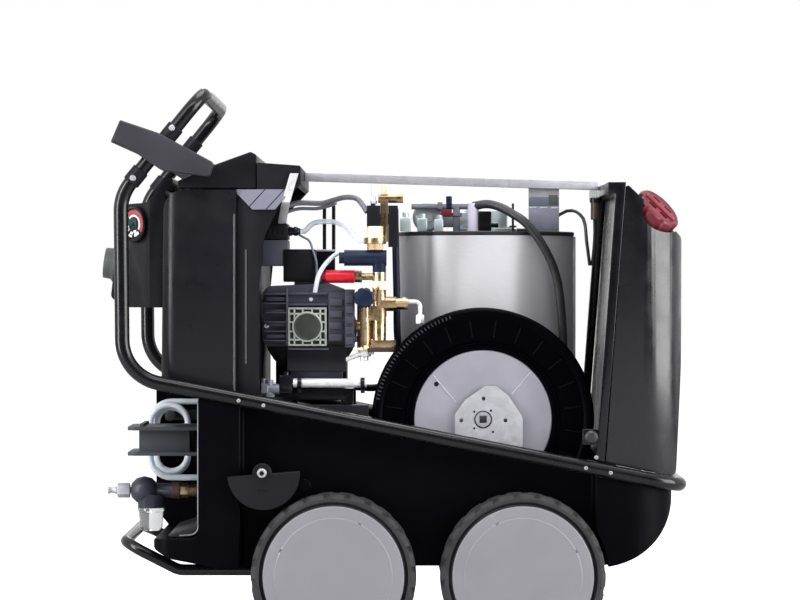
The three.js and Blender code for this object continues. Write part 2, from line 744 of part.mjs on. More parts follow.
// Arch that stands on the side tubes beside the fuel tank and carries the rail.
const tankHalf = 285;
const archHalf = tankHalf + 1;
const archPost = 24; // width of a post across the machine
const archLean = 0.0735; // how far the arch and the tank lean over, per millimetre of height
const archFootX = 384;
const archTopZ = 905;
const archBar = 22; // height of the bar across the top
const latchZ = 419;
const archX = (z) => archFootX + archLean * (z - 350);
function tankArch() {
  const post = (y0, y1) => {
    const bottom = slopeZ(archFootX + 8) + tubeClear + 2;
    const profile = [
      [archX(bottom), bottom],
      [archX(bottom) + 16, bottom - 3],
      [archX(archTopZ) + 18, archTopZ],
      [archX(archTopZ), archTopZ],
    ].map(([a, b]) => new THREE.Vector2(a, b));
    return across(profile, y0, y1);
  };
  const barBottom = archTopZ - archBar;
  const bar = box(railRightX + seatGap, archX(barBottom) + 16, -archHalf, archHalf, barBottom, archTopZ);
  const tab = box(archFootX - 24, archFootX + 16, -archHalf, -archHalf + 4, latchZ - 15, latchZ + 15);
  const posts = union(post(-archHalf, -archHalf + archPost), post(archHalf - archPost, archHalf));
  return union(posts, bar, tab);
}

function latchKnob() {
  return turned(
    [
      [0, 0],
      [8, 0],
      [13, 4],
      [13, 12],
      [9, 16],
      [0, 16],
    ],
    vec(archFootX - 8, -archHalf - seatGap, latchZ),
    vec(0, -1, 0),
    20,
  );
}

// Fuel tank: leans like the arch, bulges at the end, with the filler in a round recess on the near
// corner of its chamfer.
const chamferTop = vec(443, 0, 903);
const chamferEnd = vec(554, 0, 799);
const capNotches = 8;
const neckRadius = 30;
const tankWall = 6;
const chamferNormal = vec(chamferTop.z - chamferEnd.z, 0, chamferEnd.x - chamferTop.x).normalize();
const capTilt = (25 * Math.PI) / 180; // how far the filler leans to the near side
const capAxis = chamferNormal.multiplyScalar(Math.cos(capTilt)).setY(-Math.sin(capTilt));
const capSeat = vec(492.3, 53 - tankHalf, 837.4);
const capRadius = 48;
const recessRadius = capRadius + 6;
function fuelTank() {
  const gap = 18 + seatGap;
  const bottom = (x) => slopeZ(x) + tubeClear;
  const left = (z) => archX(z) + gap;
  const profile = outline([
    [left(372), bottom(left(372))],
    [541, bottom(541), 10],
    [553, 560, 500],
    [chamferEnd.x, chamferEnd.z, 12],
    [chamferTop.x, chamferTop.z, 4],
  ], 5);
  const plan = outline([
    [380, -tankHalf, 4],
    [556, -tankHalf, 80],
    [556, tankHalf, 80],
    [380, tankHalf, 4],
  ], 6);
  const body = across(profile, -tankHalf, tankHalf).intersect(upwards(plan, 300, 950));
  const above = (distance) => capSeat.clone().addScaledVector(capAxis, distance);
  const neck = rod(above(-14), above(20), neckRadius, 20);
  const throat = rod(above(-40), above(30), neckRadius - 5, 20);
  const backing = rod(above(-tankWall), above(150), recessRadius + tankWall, 24);
  const recess = rod(above(0), above(150), recessRadius, 24);
  const hollowProfile = outline([
    [left(380) + tankWall, bottom(left(380)) + 8],
    [533, bottom(533) + 8, 8],
    [546, 560, 400],
    [chamferEnd.x - 8, chamferEnd.z - 4, 8],
    [chamferTop.x + 5, chamferTop.z - 10, 4],
  ]);
  const hollowHalf = tankHalf - tankWall;
  const hollowPlan = outline([
    [380, -hollowHalf, 4],
    [550, -hollowHalf, 74],
    [550, hollowHalf, 74],
    [380, hollowHalf, 4],
  ], 6);
  const hollow = across(hollowProfile, -hollowHalf, hollowHalf).intersect(upwards(hollowPlan, 300, 950));
  const walls = body.subtract(hollow).add(body.intersect(backing));
  return walls.subtract(recess).add(neck).subtract(throat);
}

function fuelCap() {
  const capHeight = 34;
  const skirt = neckRadius + 1;
  const profile = [
    [0, 22],
    [skirt, 22],
    [skirt, seatGap],
    [capRadius, seatGap],
    [capRadius, capHeight - 8],
    [capRadius - 4, capHeight - 2],
    [0, capHeight],
  ];
  let cap = turned(profile, capSeat, capAxis, 24);
  const side = vec(capAxis.z, 0, -capAxis.x).normalize();
  for (let i = 0; i < capNotches; i += 1) {
    const turn = (2 * Math.PI * (i + 0.5)) / capNotches;
    const radial = side.clone().applyAxisAngle(capAxis, turn).multiplyScalar(capRadius + 2);
    const from = capSeat.clone().add(radial).addScaledVector(capAxis, -2);
    cap = cap.subtract(rod(from, from.clone().addScaledVector(capAxis, capHeight + 4), 7, 6));
  }
  return cap;
}

// Suction valve under the arch and the thin fuel hose to the burner.
function fuelLine() {
  const valve = rod(vec(400, -20, 841), vec(400, -20, 878), 8, 12);
  const barSeat = archTopZ - archBar - seatGap;
  const stub = rod(vec(400, -20, 877), vec(400, -20, barSeat), 4, 8);
  const clip = box(396, railRightX + 6, -24, -16, 872, barSeat);
  const line = hose(
    [
      vec(400, -20, 845),
      vec(400, -22, 800),
      vec(392, -30, 740),
      vec(384, -30, 790),
      vec(378, -10, 840),
      vec(352, 40, 858),
      vec(322, 58, 842),
      vec(296, 62, lidTopZ + 9),
      vec(275, 62, lidTopZ + 5),
      vec(boilerX + 62.6, 62, lidTopZ + 5),
    ],
    3.5,
    6,
    24,
  );
  return union(valve, stub, clip, line);
}

// ---------------------------------------------------------------- motor and pump
function electricMotor() {
  const at = (y) => vec(motorX, y, motorZ);
  const flange = rod(at(motorNearY), at(motorNearY + 14), motorFlangeRadius, 28);
  const ribs = [];
  for (let i = 0; i < motorRibs; i += 1) {
    const pitch = (2 * Math.PI) / motorRibs;
    for (const [share, radius] of [
      [0, motorRadius],
      [0.4, motorRadius],
      [0.5, motorRadius - 7],
      [0.9, motorRadius - 7],
    ]) {
      const angle = pitch * (i + share);
      ribs.push(new THREE.Vector2(motorX + radius * Math.cos(angle), motorZ + radius * Math.sin(angle)));
    }
  }
  const frame = across(ribs, motorNearY + 12, motorFarY - 60);
  const fanCover = rod(at(motorFarY - 62), at(motorFarY), motorRadius - 1, 28);
  const feet = box(motorX - 70, motorX + 70, -60, 90, cradleTopZ + seatGap, motorZ - 60);
  const backZ = motorZ + motorRadius;
  const terminal = box(motorX - 34, motorX + 34, -40, 50, backZ - 12, backZ + 34);
  return union(flange, frame, fanCover, feet, terminal);
}

const crankLeftX = -254;
const crankRightX = -94;
function pumpCrankcase() {
  const body = across(
    outline([
      [crankLeftX, 590, 14],
      [crankRightX - seatGap, 590, 6],
      [crankRightX - seatGap, 700, 6],
      [-126, crankTopZ, 8],
      [crankLeftX, crankTopZ - 6, 20],
    ]),
    pumpNearY + 14,
    motorNearY - seatGap,
  );
  const foot = box(-200, -100, pumpNearY + 15, motorNearY - 10, cradleTopZ + seatGap, 592);
  const ribs = [0, 1, 2, 3].map((i) =>
    box(crankLeftX + 8, -206, pumpNearY + 6, pumpNearY + 16, 606 + i * 24, 613 + i * 24),
  );
  const block = box(-126, crankRightX - seatGap, pumpNearY + 2, pumpNearY + 16, 600, 694);
  const sump = box(-204, crankRightX - 2, pumpNearY + 8, pumpNearY + 16, 541, 590);
  return union(body, foot, block, sump, ...ribs);
}

// Square ribbed cover on the end of the crankcase.
function pumpCoverPlate() {
  const [cx, cz, half] = [-166.7, 628, 37];
  const near = pumpNearY;
  const plate = box(cx - half, cx + half, near + 4, near + 14 - seatGap, cz - half, cz + half);
  const disc = rod(vec(cx, near - 2, cz), vec(cx, near + 6, cz), 25, 28);
  let made = plate.add(disc);
  const frame = box(cx - half, cx + half, near, near + 5, cz - half, cz + half).subtract(
    box(cx - half + 5, cx + half - 5, near - 1, near + 6, cz - half + 5, cz + half - 5),
  );
  made = made.add(frame);
  for (const t of [-18, 0, 18]) {
    made = made.add(box(cx + t - 2, cx + t + 2, near, near + 5, cz - half, cz + half));
    made = made.add(box(cx - half, cx + half, near, near + 5, cz + t - 2, cz + t + 2));
  }
  return made;
}

const headRightX = -76;
function pumpHead() {
  const block = box(crankRightX, headRightX, -226, -150, 588, 700);
  const bolts = [0, 1, 2, 3].map((i) => {
    const [y, z] = [i % 2 ? -212 : -164, i < 2 ? 604 : 684];
    return rod(vec(headRightX - 2, y, z), vec(headRightX + 5, y, z), 6, 6);
  });
  return union(block, ...bolts);
}

// Brass valve block: two vertical bodies bridged together, with the foot under them.
const valveY = -198;
const lowerValveX = -57;
const upperValveX = -28;
const unloaderY = -228;
function brassManifold() {
  const lower = rod(vec(lowerValveX, valveY, 590), vec(lowerValveX, valveY, 676), 14, 12);
  const lowerNut = rod(vec(lowerValveX, valveY, 582), vec(lowerValveX, valveY, 592), 16, 6);
  const upper = rod(vec(upperValveX, valveY, 600), vec(upperValveX, valveY, 733), 13, 12);
  const collar = rod(vec(upperValveX, valveY, 700), vec(upperValveX, valveY, 716), 16, 6);
  const bridge = box(lowerValveX, upperValveX, valveY - 12, valveY + 12, 640, 668);
  const foot = box(-44, 4, valveY - 14, valveY + 14, 588, 602);
  const link = rod(vec(headRightX + seatGap, valveY, 630), vec(lowerValveX, valveY, 630), 12, 12);
  const port = rod(vec(lowerValveX, valveY, 684), vec(lowerValveX, unloaderY, 684), 9, 10);
  const neck = rod(vec(lowerValveX, valveY, 670), vec(lowerValveX, valveY, 694), 11, 12);
  return union(lower, lowerNut, upper, collar, bridge, foot, link, port, neck, outletUnion(), bypassElbow());
}

function unloaderKnob() {
  const profile = [
    [0, 0],
    [14, 0],
    [20, 4],
    [20, 18],
    [16, 22],
    [0, 22],
  ];
  let knob = turned(profile, vec(lowerValveX, unloaderY - seatGap, 684), vec(0, -1, 0), 20);
  for (let i = 0; i < 8; i += 1) {
    const angle = (Math.PI * i) / 4;
    const [x, z] = [lowerValveX + 22 * Math.cos(angle), 684 + 22 * Math.sin(angle)];
    knob = knob.subtract(rod(vec(x, unloaderY, z), vec(x, unloaderY - 30, z), 4, 8));
  }
  return knob;
}

function outletUnion() {
  const x = upperValveX;
  const nut = rod(vec(x, valveY, 672), vec(x + 33, valveY, 672), 14, 6);
  const body = rod(vec(x + 32, valveY, 672), vec(x + 55, valveY, 672), 11.5, 12);
  const drop = [vec(x + 53, valveY, 676), vec(x + 79, valveY, 676), vec(x + 79, valveY, 640)];
  return union(nut, body, bentTube(drop, 9, 4, 8, 4));
}

const switchZ = 761;
function pressureSwitch() {
  const barrel = rod(vec(-96, valveY, switchZ), vec(-14, valveY, switchZ), 15.5, 14);
  const nose = rod(vec(-106, valveY, switchZ), vec(-94, valveY, switchZ), 11, 12);
  const collar = rod(vec(upperValveX, valveY, 733 + seatGap), vec(upperValveX, valveY, 752), 13, 16);
  return union(barrel, nose, collar);
}

// Solenoid valves above the pressure switch, joined by a brass tee.
function valveStack() {
  const z = switchZ + 15.5 + seatGap;
  const base = rod(vec(-36, valveY, z), vec(-36, valveY, 822), 18, 6);
  const ring = rod(vec(-36, valveY, 788), vec(-36, valveY, 800), 21, 12);
  const stem = box(-26, -11, valveY - 7, valveY + 7, 792, 884);
  const tee = rod(vec(-30, valveY, 876), vec(18, valveY, 876), 9, 10);
  const pin = rod(vec(-19, valveY, 880), vec(-19, valveY, 902), 4, 8);
  return union(base, ring, stem, tee, pin);
}

function solenoidCoils() {
  const left = box(-52, -26 - seatGap, valveY - 13, valveY + 13, 822 + seatGap, 862);
  const right = box(-11 + seatGap, 8, valveY - 13, valveY + 13, 782, 862);
  const yoke = box(-52, 8, valveY + 13 - 3, valveY + 17, 826, 846);
  const cap = rod(vec(-40, valveY, 861), vec(-40, valveY, 868), 5, 10);
  return union(left, right, yoke, cap);
}

const crankTopZ = 712;
const bypassY = -190;
const bypassRadius = 12.8;
const bypassZ = crankTopZ + bypassRadius + seatGap;
const bypassRightX = -76;
function bypassCap() {
  const barrel = rod(vec(-132, bypassY, bypassZ), vec(bypassRightX, bypassY, bypassZ), bypassRadius, 14);
  const step = rod(vec(-140, bypassY, bypassZ), vec(-131, bypassY, bypassZ), 9, 10);
  return union(barrel, step);
}

function bypassElbow() {
  const x = bypassRightX + seatGap;
  const nut = rod(vec(x, bypassY, bypassZ), vec(x + 14, bypassY, bypassZ), 11.5, 6);
  const pipe = rod(vec(x + 13, bypassY, bypassZ), vec(upperValveX, bypassY, bypassZ), 7, 8);
  return union(nut, pipe);
}

const transparentHose = () =>
  hose(
    [
      vec(glandEndX + 0.6, glandY, glandZ),
      vec(glandEndX + 8, glandY, glandZ),
      vec(-158, -151, 828),
      vec(-128, -158, 832),
      vec(-100, -170, 826),
      vec(-78, -188, 806),
      vec(-66, valveY, 794),
      vec(-57.6, valveY, 794),
    ],
    5,
    8,
    20,
  );

// Sheet cradle under the motor and pump, on four legs in the tub behind the float tank.
const cradleTopZ = 509;
const floatNearY = -tubInnerHalf + 2;
const floatFarY = floatNearY + 33.7;
function engineCradle() {
  const [x0, x1, y1] = [-250, -78, 150];
  const y0 = floatFarY + 2.3;
  const deck = box(x0, x1, y0, y1, cradleTopZ - 6, cradleTopZ);
  const lip = box(x0, x1, y0, y0 + 5, cradleTopZ - 23, cradleTopZ);
  const legs = [
    [x0 + 28, y0],
    [x1 - 24, y0],
    [x0 + 28, y1 - 24],
    [x1 - 24, y1 - 24],
  ].map(([x, y]) => box(x, x + 24, y, y + 24, tubSeatZ, cradleTopZ - 3));
  return union(deck, lip, ...legs);
}

// Float tank that breaks the mains water, in front of the cradle's legs.
function floatTank() {
  const [bottom, top] = [330, 478];
  const [left, right] = [-190, reelX - reelRadius - 6];
  const front = box(left, right, floatNearY, floatFarY, bottom, top);
  const back = box(left, -112, floatFarY - 0.7, -120, bottom, top - 8);
  const leg = (x) => box(x, x + 20, floatNearY + 5, floatNearY + 25, tubSeatZ, bottom + 2);
  return union(front, back, leg(left + 10), leg(right - 30));
}

// Contactor and terminal boxes on the bulkhead, above the pump.
const glandY = -150;
const glandZ = 813;
const glandEndX = -182;
function contactorBox() {
  const upper = box(bulkheadX + seatGap, -206, -170, -60, 796, 828);
  const gland = rod(vec(-207, glandY, glandZ), vec(glandEndX, glandY, glandZ), 9, 16);
  const middle = box(bulkheadX + seatGap, -206, -176, -60, 745, 797);
  const lower = box(-215, -152, -180, -80, 714, 778);
  return union(upper, gland, middle, lower);
}

// ---------------------------------------------------------------- tower at the handle end
const underTower = (x) => slopeZ(x) - tubeClear + seatGap;
const towerFaceX = (z) =>
  towerLeftX + (towerLean * (z - underTower(towerLeftX))) / (towerTopZ - underTower(towerLeftX));
function towerShell() {
  const profile = outline([
    [towerLeftX, underTower(towerLeftX), 12],
    [towerRightX, underTower(towerRightX)],
    [towerRightX, towerTopZ],
    [towerLeftX + towerLean, towerTopZ, 40],
  ], 6);
  const wall = towerWall;
  const hollow = outline([
    [towerLeftX + wall, underTower(towerLeftX) + wall, 8],
    [towerRightX + 1, underTower(towerRightX) + wall],
    [towerRightX + 1, towerTopZ - wall],
    [towerLeftX + towerLean + wall, towerTopZ - wall, 36],
  ], 6);
  const plan = (inset) =>
    outline([
      [towerLeftX + inset, -towerHalf + inset, 30 - inset],
      [towerRightX + 2, -towerHalf + inset],
      [towerRightX + 2, towerHalf - inset],
      [towerLeftX + inset, towerHalf - inset, 30 - inset],
    ]);
  const shell = (points, inset) =>
    across(points, -towerHalf + inset, towerHalf - inset).intersect(upwards(plan(inset), 400, 1000));
  const hatch = box(-392, -312, -190, 190, towerTopZ - 20, towerTopZ + 20);
  return shell(profile, 0).subtract(shell(hollow, wall)).subtract(hatch);
}

const flapLeftX = -414;
const flapSwing = 13; // room for the lower edge of the flap as it opens
const flapRightX = -262;
const flapHalf = bulkheadHalf - 4;
function towerBulkhead() {
  const x0 = towerRightX + seatGap;
  const profile = outline([
    [x0, underTower(x0)],
    [bulkheadX, underTower(bulkheadX)],
    [bulkheadX, 700, 60],
    [-248, 800, 60],
    [-222, 856, 20],
    [railLeftX - seatGap, 902],
    [railLeftX - seatGap, 937, 3],
    [flapRightX + seatGap, 943, 3],
    [flapRightX + seatGap, towerTopZ],
    [x0, towerTopZ],
  ]);
  const hollow = outline([
    [x0 - 1, underTower(x0) + 6],
    [bulkheadX - 5, underTower(bulkheadX) + 6],
    [bulkheadX - 5, 702, 60],
    [-254, 803, 60],
    [-227, 860, 20],
    [railLeftX - 6, 907],
    [railLeftX - 6, 932],
    [flapRightX + 5, 937],
    [flapRightX + 5, towerTopZ - 5],
    [x0 - 1, towerTopZ - 5],
  ]);
  const bay = box(bulkheadX, railLeftX - 6, -bulkheadHalf + 5, bulkheadHalf - 5, 400, 932);
  return across(profile, -bulkheadHalf, bulkheadHalf)
    .subtract(across(hollow, -bulkheadHalf + 5, bulkheadHalf - 5))
    .subtract(bay)
    .add(box(bulkheadX - 3.4, bulkheadX, -bulkheadHalf + 4, bulkheadHalf - 4, 690, 905));
}

function towerFlap() {
  const z0 = towerTopZ + 2;
  const profile = outline([
    [flapLeftX, z0],
    [flapRightX - seatGap, z0],
    [flapRightX - seatGap, 958, 6],
    [-274, 964, 6],
    [-340, 940, 40],
    [flapLeftX, 908, 6],
  ]);
  const hollow = outline([
    [flapLeftX + 5, z0 - 1],
    [flapRightX - 6, z0 - 1],
    [flapRightX - 6, 952],
    [-276, 958],
    [-340, 935],
    [flapLeftX + 5, 904],
  ]);
  return across(profile, -flapHalf, flapHalf).subtract(across(hollow, -flapHalf + 5, flapHalf - 5));
}

const panelHalf = 196;
const [panelFootX, panelFootZ] = [-552, 686];
const panelSlope = 18 / 146; // how far its face leans to the tower for each millimetre up
const cornerFront = vec(-472, -204, 0);
const cornerBack = vec(-530, -150, 0);
const gaugeCanRadius = 30;
const gaugeZ = 826;
const gaugeAxis = vec(cornerFront.y - cornerBack.y, cornerBack.x - cornerFront.x, 0).normalize();
const gaugeSeat = cornerFront.clone().lerp(cornerBack, 0.5).setZ(gaugeZ);
function controlPanel() {
  const [bottom, top, hoodTop] = [665, 866, 916];
  const overTower = towerTopZ + seatGap;
  const hoodRightX = flapLeftX - flapSwing;
  const profile = outline([
    [towerFaceX(bottom) - seatGap, bottom],
    [-530, bottom, 10],
    [panelFootX, panelFootZ, 10],
    [panelFootX + panelSlope * (top - 14 - panelFootZ), top - 14, 10],
    [-516, top, 8],
    [-474, top + 2, 20],
    [-443, hoodTop, 6],
    [hoodRightX, hoodTop, 4],
    [hoodRightX, overTower],
    [towerFaceX(overTower) - seatGap, overTower],
  ]);
  const plan = outline([
    [towerRightX, panelHalf],
    [-560, panelHalf],
    [-560, cornerBack.y],
    [-540, cornerBack.y],
    [cornerBack.x, cornerBack.y],
    [cornerFront.x, cornerFront.y],
    [towerRightX, cornerFront.y],
  ]);
  const body = across(profile, -220, panelHalf).intersect(upwards(plan, 600, hoodTop + 10));
  const pocket = rod(
    gaugeSeat.clone().addScaledVector(gaugeAxis, -24),
    gaugeSeat.clone().addScaledVector(gaugeAxis, 5),
    gaugeCanRadius + seatGap,
    28,
  );
  return body.subtract(pocket);
}

const panelLean = Math.atan(panelSlope);
const switchAxis = vec(-Math.cos(panelLean), 0, Math.sin(panelLean));
const switchSeat = vec(-544.2, -50, 749);
function rotarySwitch() {
  const seat = switchSeat.clone().addScaledVector(switchAxis, seatGap);
  const skirt = turned(
    [
      [0, 0],
      [37, 0],
      [37, 9],
      [31, 14],
      [30, 29],
      [0, 29],
    ],
    seat,
    switchAxis,
    28,
  );
  return skirt;
}

function pressureGauge() {
  return turned(
    [
      [0, -22],
      [gaugeCanRadius - seatGap, -22],
      [gaugeCanRadius - seatGap, seatGap],
      [gaugeCanRadius + 4, seatGap],
      [gaugeCanRadius + 4, 9],
      [gaugeCanRadius - 1, 9],
      [gaugeCanRadius - 1, 5],
      [0, 5],
    ],
    gaugeSeat,
    gaugeAxis,
    20,
  );
}

// ---------------------------------------------------------------- water inlet under the tower
const panelX = tubLeftX - seatGap;
const inletY = -120;
const inletZ = 306;
const panelFrontX = panelX - 4;
const hankTurns = 2.5;
const hankRadius = 6;
const hankPitch = 13; // from one loop to the next, and from one layer to the next
const hankOuter = 44; // radius of the outer loop
const hankRun = 32; // half the length of the upright runs
const hankX = -448;
const hankY = 20;
const hankZ = 398;
const hankTop = hankZ + hankRun + hankOuter;
const hankBottom = hankZ - hankRun - hankOuter;
const bossDepth = 8;
const pegRadius = 7.6;
const pegAir = 0.8; // above the peg, because the loops spiral
function inletPanel() {
  const sheet = across(
    outline([
      [panelX, 244],
      [panelX, 486],
      [panelFrontX, 486],
      [panelFrontX, 247, 14],
      [panelX - 60, 229],
      [panelX - 60, 225],
      [panelX - 18, 225, 14],
    ]),
    -240,
    bayNearY - tubWall,
  );
  const armY = hankY + hankPitch / 2 + hankRadius + seatGap;
  const innermost = hankOuter - hankPitch * (hankTurns / 2 - 0.25) - hankRadius;
  const pegZ = hankZ + hankRun + innermost - pegRadius - pegAir;
  const pegFront = hankY - hankPitch / 2 - hankRadius - 3;
  const arm = box(hankX - 12, panelX - 2, armY, armY + 6, pegZ - 10, pegZ + 10);
  const peg = rod(vec(hankX, pegFront, pegZ), vec(hankX, armY + 2, pegZ), pegRadius);
  const lip = rod(vec(hankX, pegFront - 2, pegZ), vec(hankX, pegFront + 1, pegZ), pegRadius + 3);
  const boss = (y, z) => rod(vec(panelFrontX - bossDepth, y, z), vec(panelX - 2, y, z), 9, 12);
  const bosses = boss(hankY - hankPitch / 2, hankBottom).add(boss(hankY + hankPitch / 2, hankTop));
  return union(sheet, arm, peg, lip, bosses);
}

const ballX = -489;
const bowlX = -476;
function filterHead() {
  const ball = turned(
    [
      [0, -28],
      [14, -25],
      [24, -15],
      [28, 0],
      [24, 15],
      [14, 25],
      [0, 28],
    ],
    vec(ballX, inletY, inletZ),
    vec(1, 0, 0),
    16,
  );
  const outlet = rod(vec(ballX + 15, inletY, inletZ), vec(-435, inletY, inletZ), 14, 12);
  const gasket = rod(vec(-436, inletY, inletZ), vec(-419, inletY, inletZ), 15.5, 12);
  const collar = rod(vec(bowlX, inletY, inletZ - 34), vec(bowlX, inletY, inletZ - 8), 26, 16);
  return union(ball, outlet, gasket, collar);
}

function filterBowl() {
  const top = inletZ - 34 - seatGap;
  return turned(
    [
      [0, top],
      [26, top],
      [26, top - 6],
      [24, top - 8],
      [22.5, top - 38],
      [18, top - 44],
      [0, top - 46],
    ],
    vec(bowlX, inletY, 0),
    vec(0, 0, 1),
    16,
  );
}

function inletCoupling() {
  const nut = rod(vec(-541.6, inletY, inletZ), vec(ballX - 28 - seatGap, inletY, inletZ), 15, 6);
  const nipple = turned(
    [
      [0, 0],
      [7, 0],
      [8, 4],
      [6, 8],
      [6, 14],
      [8, 19],
      [0, 19],
    ],
    vec(-541, inletY, inletZ),
    vec(-1, 0, 0),
    10,
  );
  return union(nut, nipple);
}

function brassUnion() {
  const nut = rod(vec(-419 + seatGap, inletY, inletZ), vec(-402, inletY, inletZ), 15, 6);
  const tail = rod(vec(-403, inletY, inletZ), vec(panelFrontX - seatGap, inletY, inletZ), 12, 12);
  return union(nut, tail);
}

// Two flanges with a core between them, to wind the mains lead on.
function cableWinder() {
  const [y0, y1] = [-200, -60];
  const flange = (z) => {
    const plate = outline([
      [-516, y0 + 6, 10],
      [-500, y0, 6],
      [panelFrontX - seatGap, y0],
      [panelFrontX - seatGap, y1],
      [-500, y1, 6],
      [-516, y1 - 6, 10],
    ]);
    return upwards(plate, z, z + 7);
  };
  const core = box(-494, -396, y0 + 14, y1 - 14, 384, 428);
  const nib = box(-492, -484, y0 + 10, y1 - 10, 432, 440);
  return union(flange(378), flange(427), core, nib);
}

// Pale detergent hose, hung in a hank over the peg. Its loops are half circles joined by upright runs.
// It spirals in, climbs a layer along a run and spirals out, and both ends run square to the sheet panel.
function hankLine() {
  const quarterSteps = 5;
  const line = [];
  for (let quarter = 0; quarter < 4 * hankTurns; quarter += 1) {
    const upper = quarter % 4 === 1 || quarter % 4 === 2;
    const afterRun = quarter % 2 === 1 || quarter === 0;
    for (let s = afterRun ? 0 : 1; s <= quarterSteps; s += 1) {
      const turn = (quarter + s / quarterSteps) / 4;
      const radius = hankOuter - hankPitch * Math.min(turn, hankTurns - turn);
      const angle = -Math.PI / 2 - 2 * Math.PI * turn;
      const x = hankX + radius * Math.cos(angle);
      const y = hankY + (quarter < 2 * hankTurns ? -0.5 : 0.5) * hankPitch;
      line.push(vec(x, y, hankZ + (upper ? hankRun : -hankRun) + radius * Math.sin(angle)));
    }
  }
  return line;
}

/** The least air between two stretches of a tube that lie apart along it. */
function leastGap(points, radius) {
  let least = Infinity;
  for (let i = 0; i < points.length; i += 1) {
    let travelled = 0;
    for (let j = i; j + 1 < points.length; j += 1) {
      const stretch = new THREE.Line3(points[j], points[j + 1]);
      const nearest = stretch.closestPointToPoint(points[i], true, vec(0, 0, 0));
      if (travelled > 6 * radius) least = Math.min(least, nearest.distanceTo(points[i]) - 2 * radius);
      travelled += points[j].distanceTo(points[j + 1]);
    }
  }
  return least;
}

function hoseHank() {
  const loops = hankLine();
  const meets = panelFrontX - bossDepth - seatGap;
  const start = loops[0].clone().setX(meets);
  const end = loops[loops.length - 1].clone().setX(meets);
  const line = [start, ...loops, end];
  const gap = leastGap(line, hankRadius).toFixed(2);
  console.log(`hose hank: ${hankTurns} loops, least gap to itself ${gap} mm`);
  return sweep(line, hankRadius, 6);
}

// ---------------------------------------------------------------- assembly
add("chassis_tub", chassisTub(), blackPlastic);
add("frame_tube_right", sideTube(-tubeHalfTrack), tubeBlack);
add("frame_tube_left", sideTube(tubeHalfTrack), tubeBlack);
add("push_handle", pushHandle(), tubeBlack);
add("bumper_bar", bumperBar(), tubeBlack);
add("foot_bar", footBar(), tubeBlack);
add("hose_horn_right", hoseHorn(-tubeHalfTrack), blackPlastic);
add("hose_horn_left", hoseHorn(tubeHalfTrack), blackPlastic);
for (const [end, x] of [
  ["rear", handleAxleX],
  ["front", tankAxleX],
]) {
  add(`${end}_axle`, axle(x), galvanised);
  for (const [side, outward] of [
    ["right", -1],
    ["left", 1],
  ]) {
    add(`tyre_${end}_${side}`, tyre(x, outward), rubber);
    add(`wheel_${end}_${side}`, wheelDisc(x, outward), wheelGrey);
  }
}
add("brake_pedal", brakePedal(), blackPlastic);
add("reel_drum", reelDrum(), blackPlastic);
add("reel_hub", reelHub(), reelGrey);
add("reel_bearing_plate", reelBearingPlate(), galvanised);
add("reel_swivel_bracket", reelSwivelBracket(), galvanised);
add("boiler_shell", boilerShell(), stainless);
add("boiler_lid", boilerLid(), galvanised);
add("burner_head", burnerHead(), aluminium);
add("pressure_hose", pressureHose(), rubber);
add("top_rail", topRail(), galvanised);
add("tank_arch", tankArch(), tubeBlack);
add("latch_knob", latchKnob(), rubber);
add("fuel_tank", fuelTank(), blackPlastic);
add("fuel_cap", fuelCap(), redPlastic);
add("fuel_line", fuelLine(), rubber);
add("electric_motor", electricMotor(), castGrey);
add("pump_crankcase", pumpCrankcase(), castGrey);
add("pump_cover_plate", pumpCoverPlate(), aluminium);
add("pump_head", pumpHead(), castGrey);
add("brass_manifold", brassManifold(), brass);
add("unloader_knob", unloaderKnob(), knobBlue);
add("pressure_switch", pressureSwitch(), knobBlue);
add("valve_stack", valveStack(), brass);
add("solenoid_coils", solenoidCoils(), blackPlastic);
add("bypass_cap", bypassCap(), redPlastic);
add("clear_hose", transparentHose(), clearHose);
add("engine_cradle", engineCradle(), tubeBlack);
add("float_tank", floatTank(), blackPlastic);
add("contactor_box", contactorBox(), blackPlastic);
add("tower_shell", towerShell(), blackPlastic);
add("tower_bulkhead", towerBulkhead(), blackPlastic);
add("tower_flap", towerFlap(), blackPlastic);
add("control_panel", controlPanel(), blackPlastic);
add("rotary_switch", rotarySwitch(), greyPlastic);
add("pressure_gauge", pressureGauge(), stainless);
add("inlet_panel", inletPanel(), galvanised);
add("filter_head", filterHead(), blackPlastic);
add("filter_bowl", filterBowl(), smokedBowl);
add("inlet_coupling", inletCoupling(), galvanised);
add("brass_union", brassUnion(), brass);
add("cable_winder", cableWinder(), greyPlastic);
add("hose_hank", hoseHank(), clearHose);

export default new THREE.Group().add(machine);
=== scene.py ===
import json
import math

import bmesh
import bpy
from mathutils import Matrix, Vector


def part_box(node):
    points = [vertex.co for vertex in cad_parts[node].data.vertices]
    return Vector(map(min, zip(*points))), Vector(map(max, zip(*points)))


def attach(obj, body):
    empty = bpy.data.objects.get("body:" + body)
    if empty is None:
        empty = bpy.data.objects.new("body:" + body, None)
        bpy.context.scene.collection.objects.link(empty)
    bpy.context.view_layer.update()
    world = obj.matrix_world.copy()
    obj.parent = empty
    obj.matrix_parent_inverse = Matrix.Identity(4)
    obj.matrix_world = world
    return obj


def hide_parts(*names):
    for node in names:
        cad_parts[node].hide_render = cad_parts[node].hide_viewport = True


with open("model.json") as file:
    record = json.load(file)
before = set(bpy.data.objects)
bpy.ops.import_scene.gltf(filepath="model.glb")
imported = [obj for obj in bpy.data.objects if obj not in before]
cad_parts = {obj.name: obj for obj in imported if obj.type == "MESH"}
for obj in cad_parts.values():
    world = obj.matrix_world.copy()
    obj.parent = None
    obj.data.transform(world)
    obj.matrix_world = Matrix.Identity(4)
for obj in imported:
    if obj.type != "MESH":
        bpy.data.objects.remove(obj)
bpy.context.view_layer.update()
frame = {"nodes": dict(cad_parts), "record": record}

MM = 0.001
CENTRE_SHIFT = 7.1  # the frame's origin lies under the middle of the machine's length
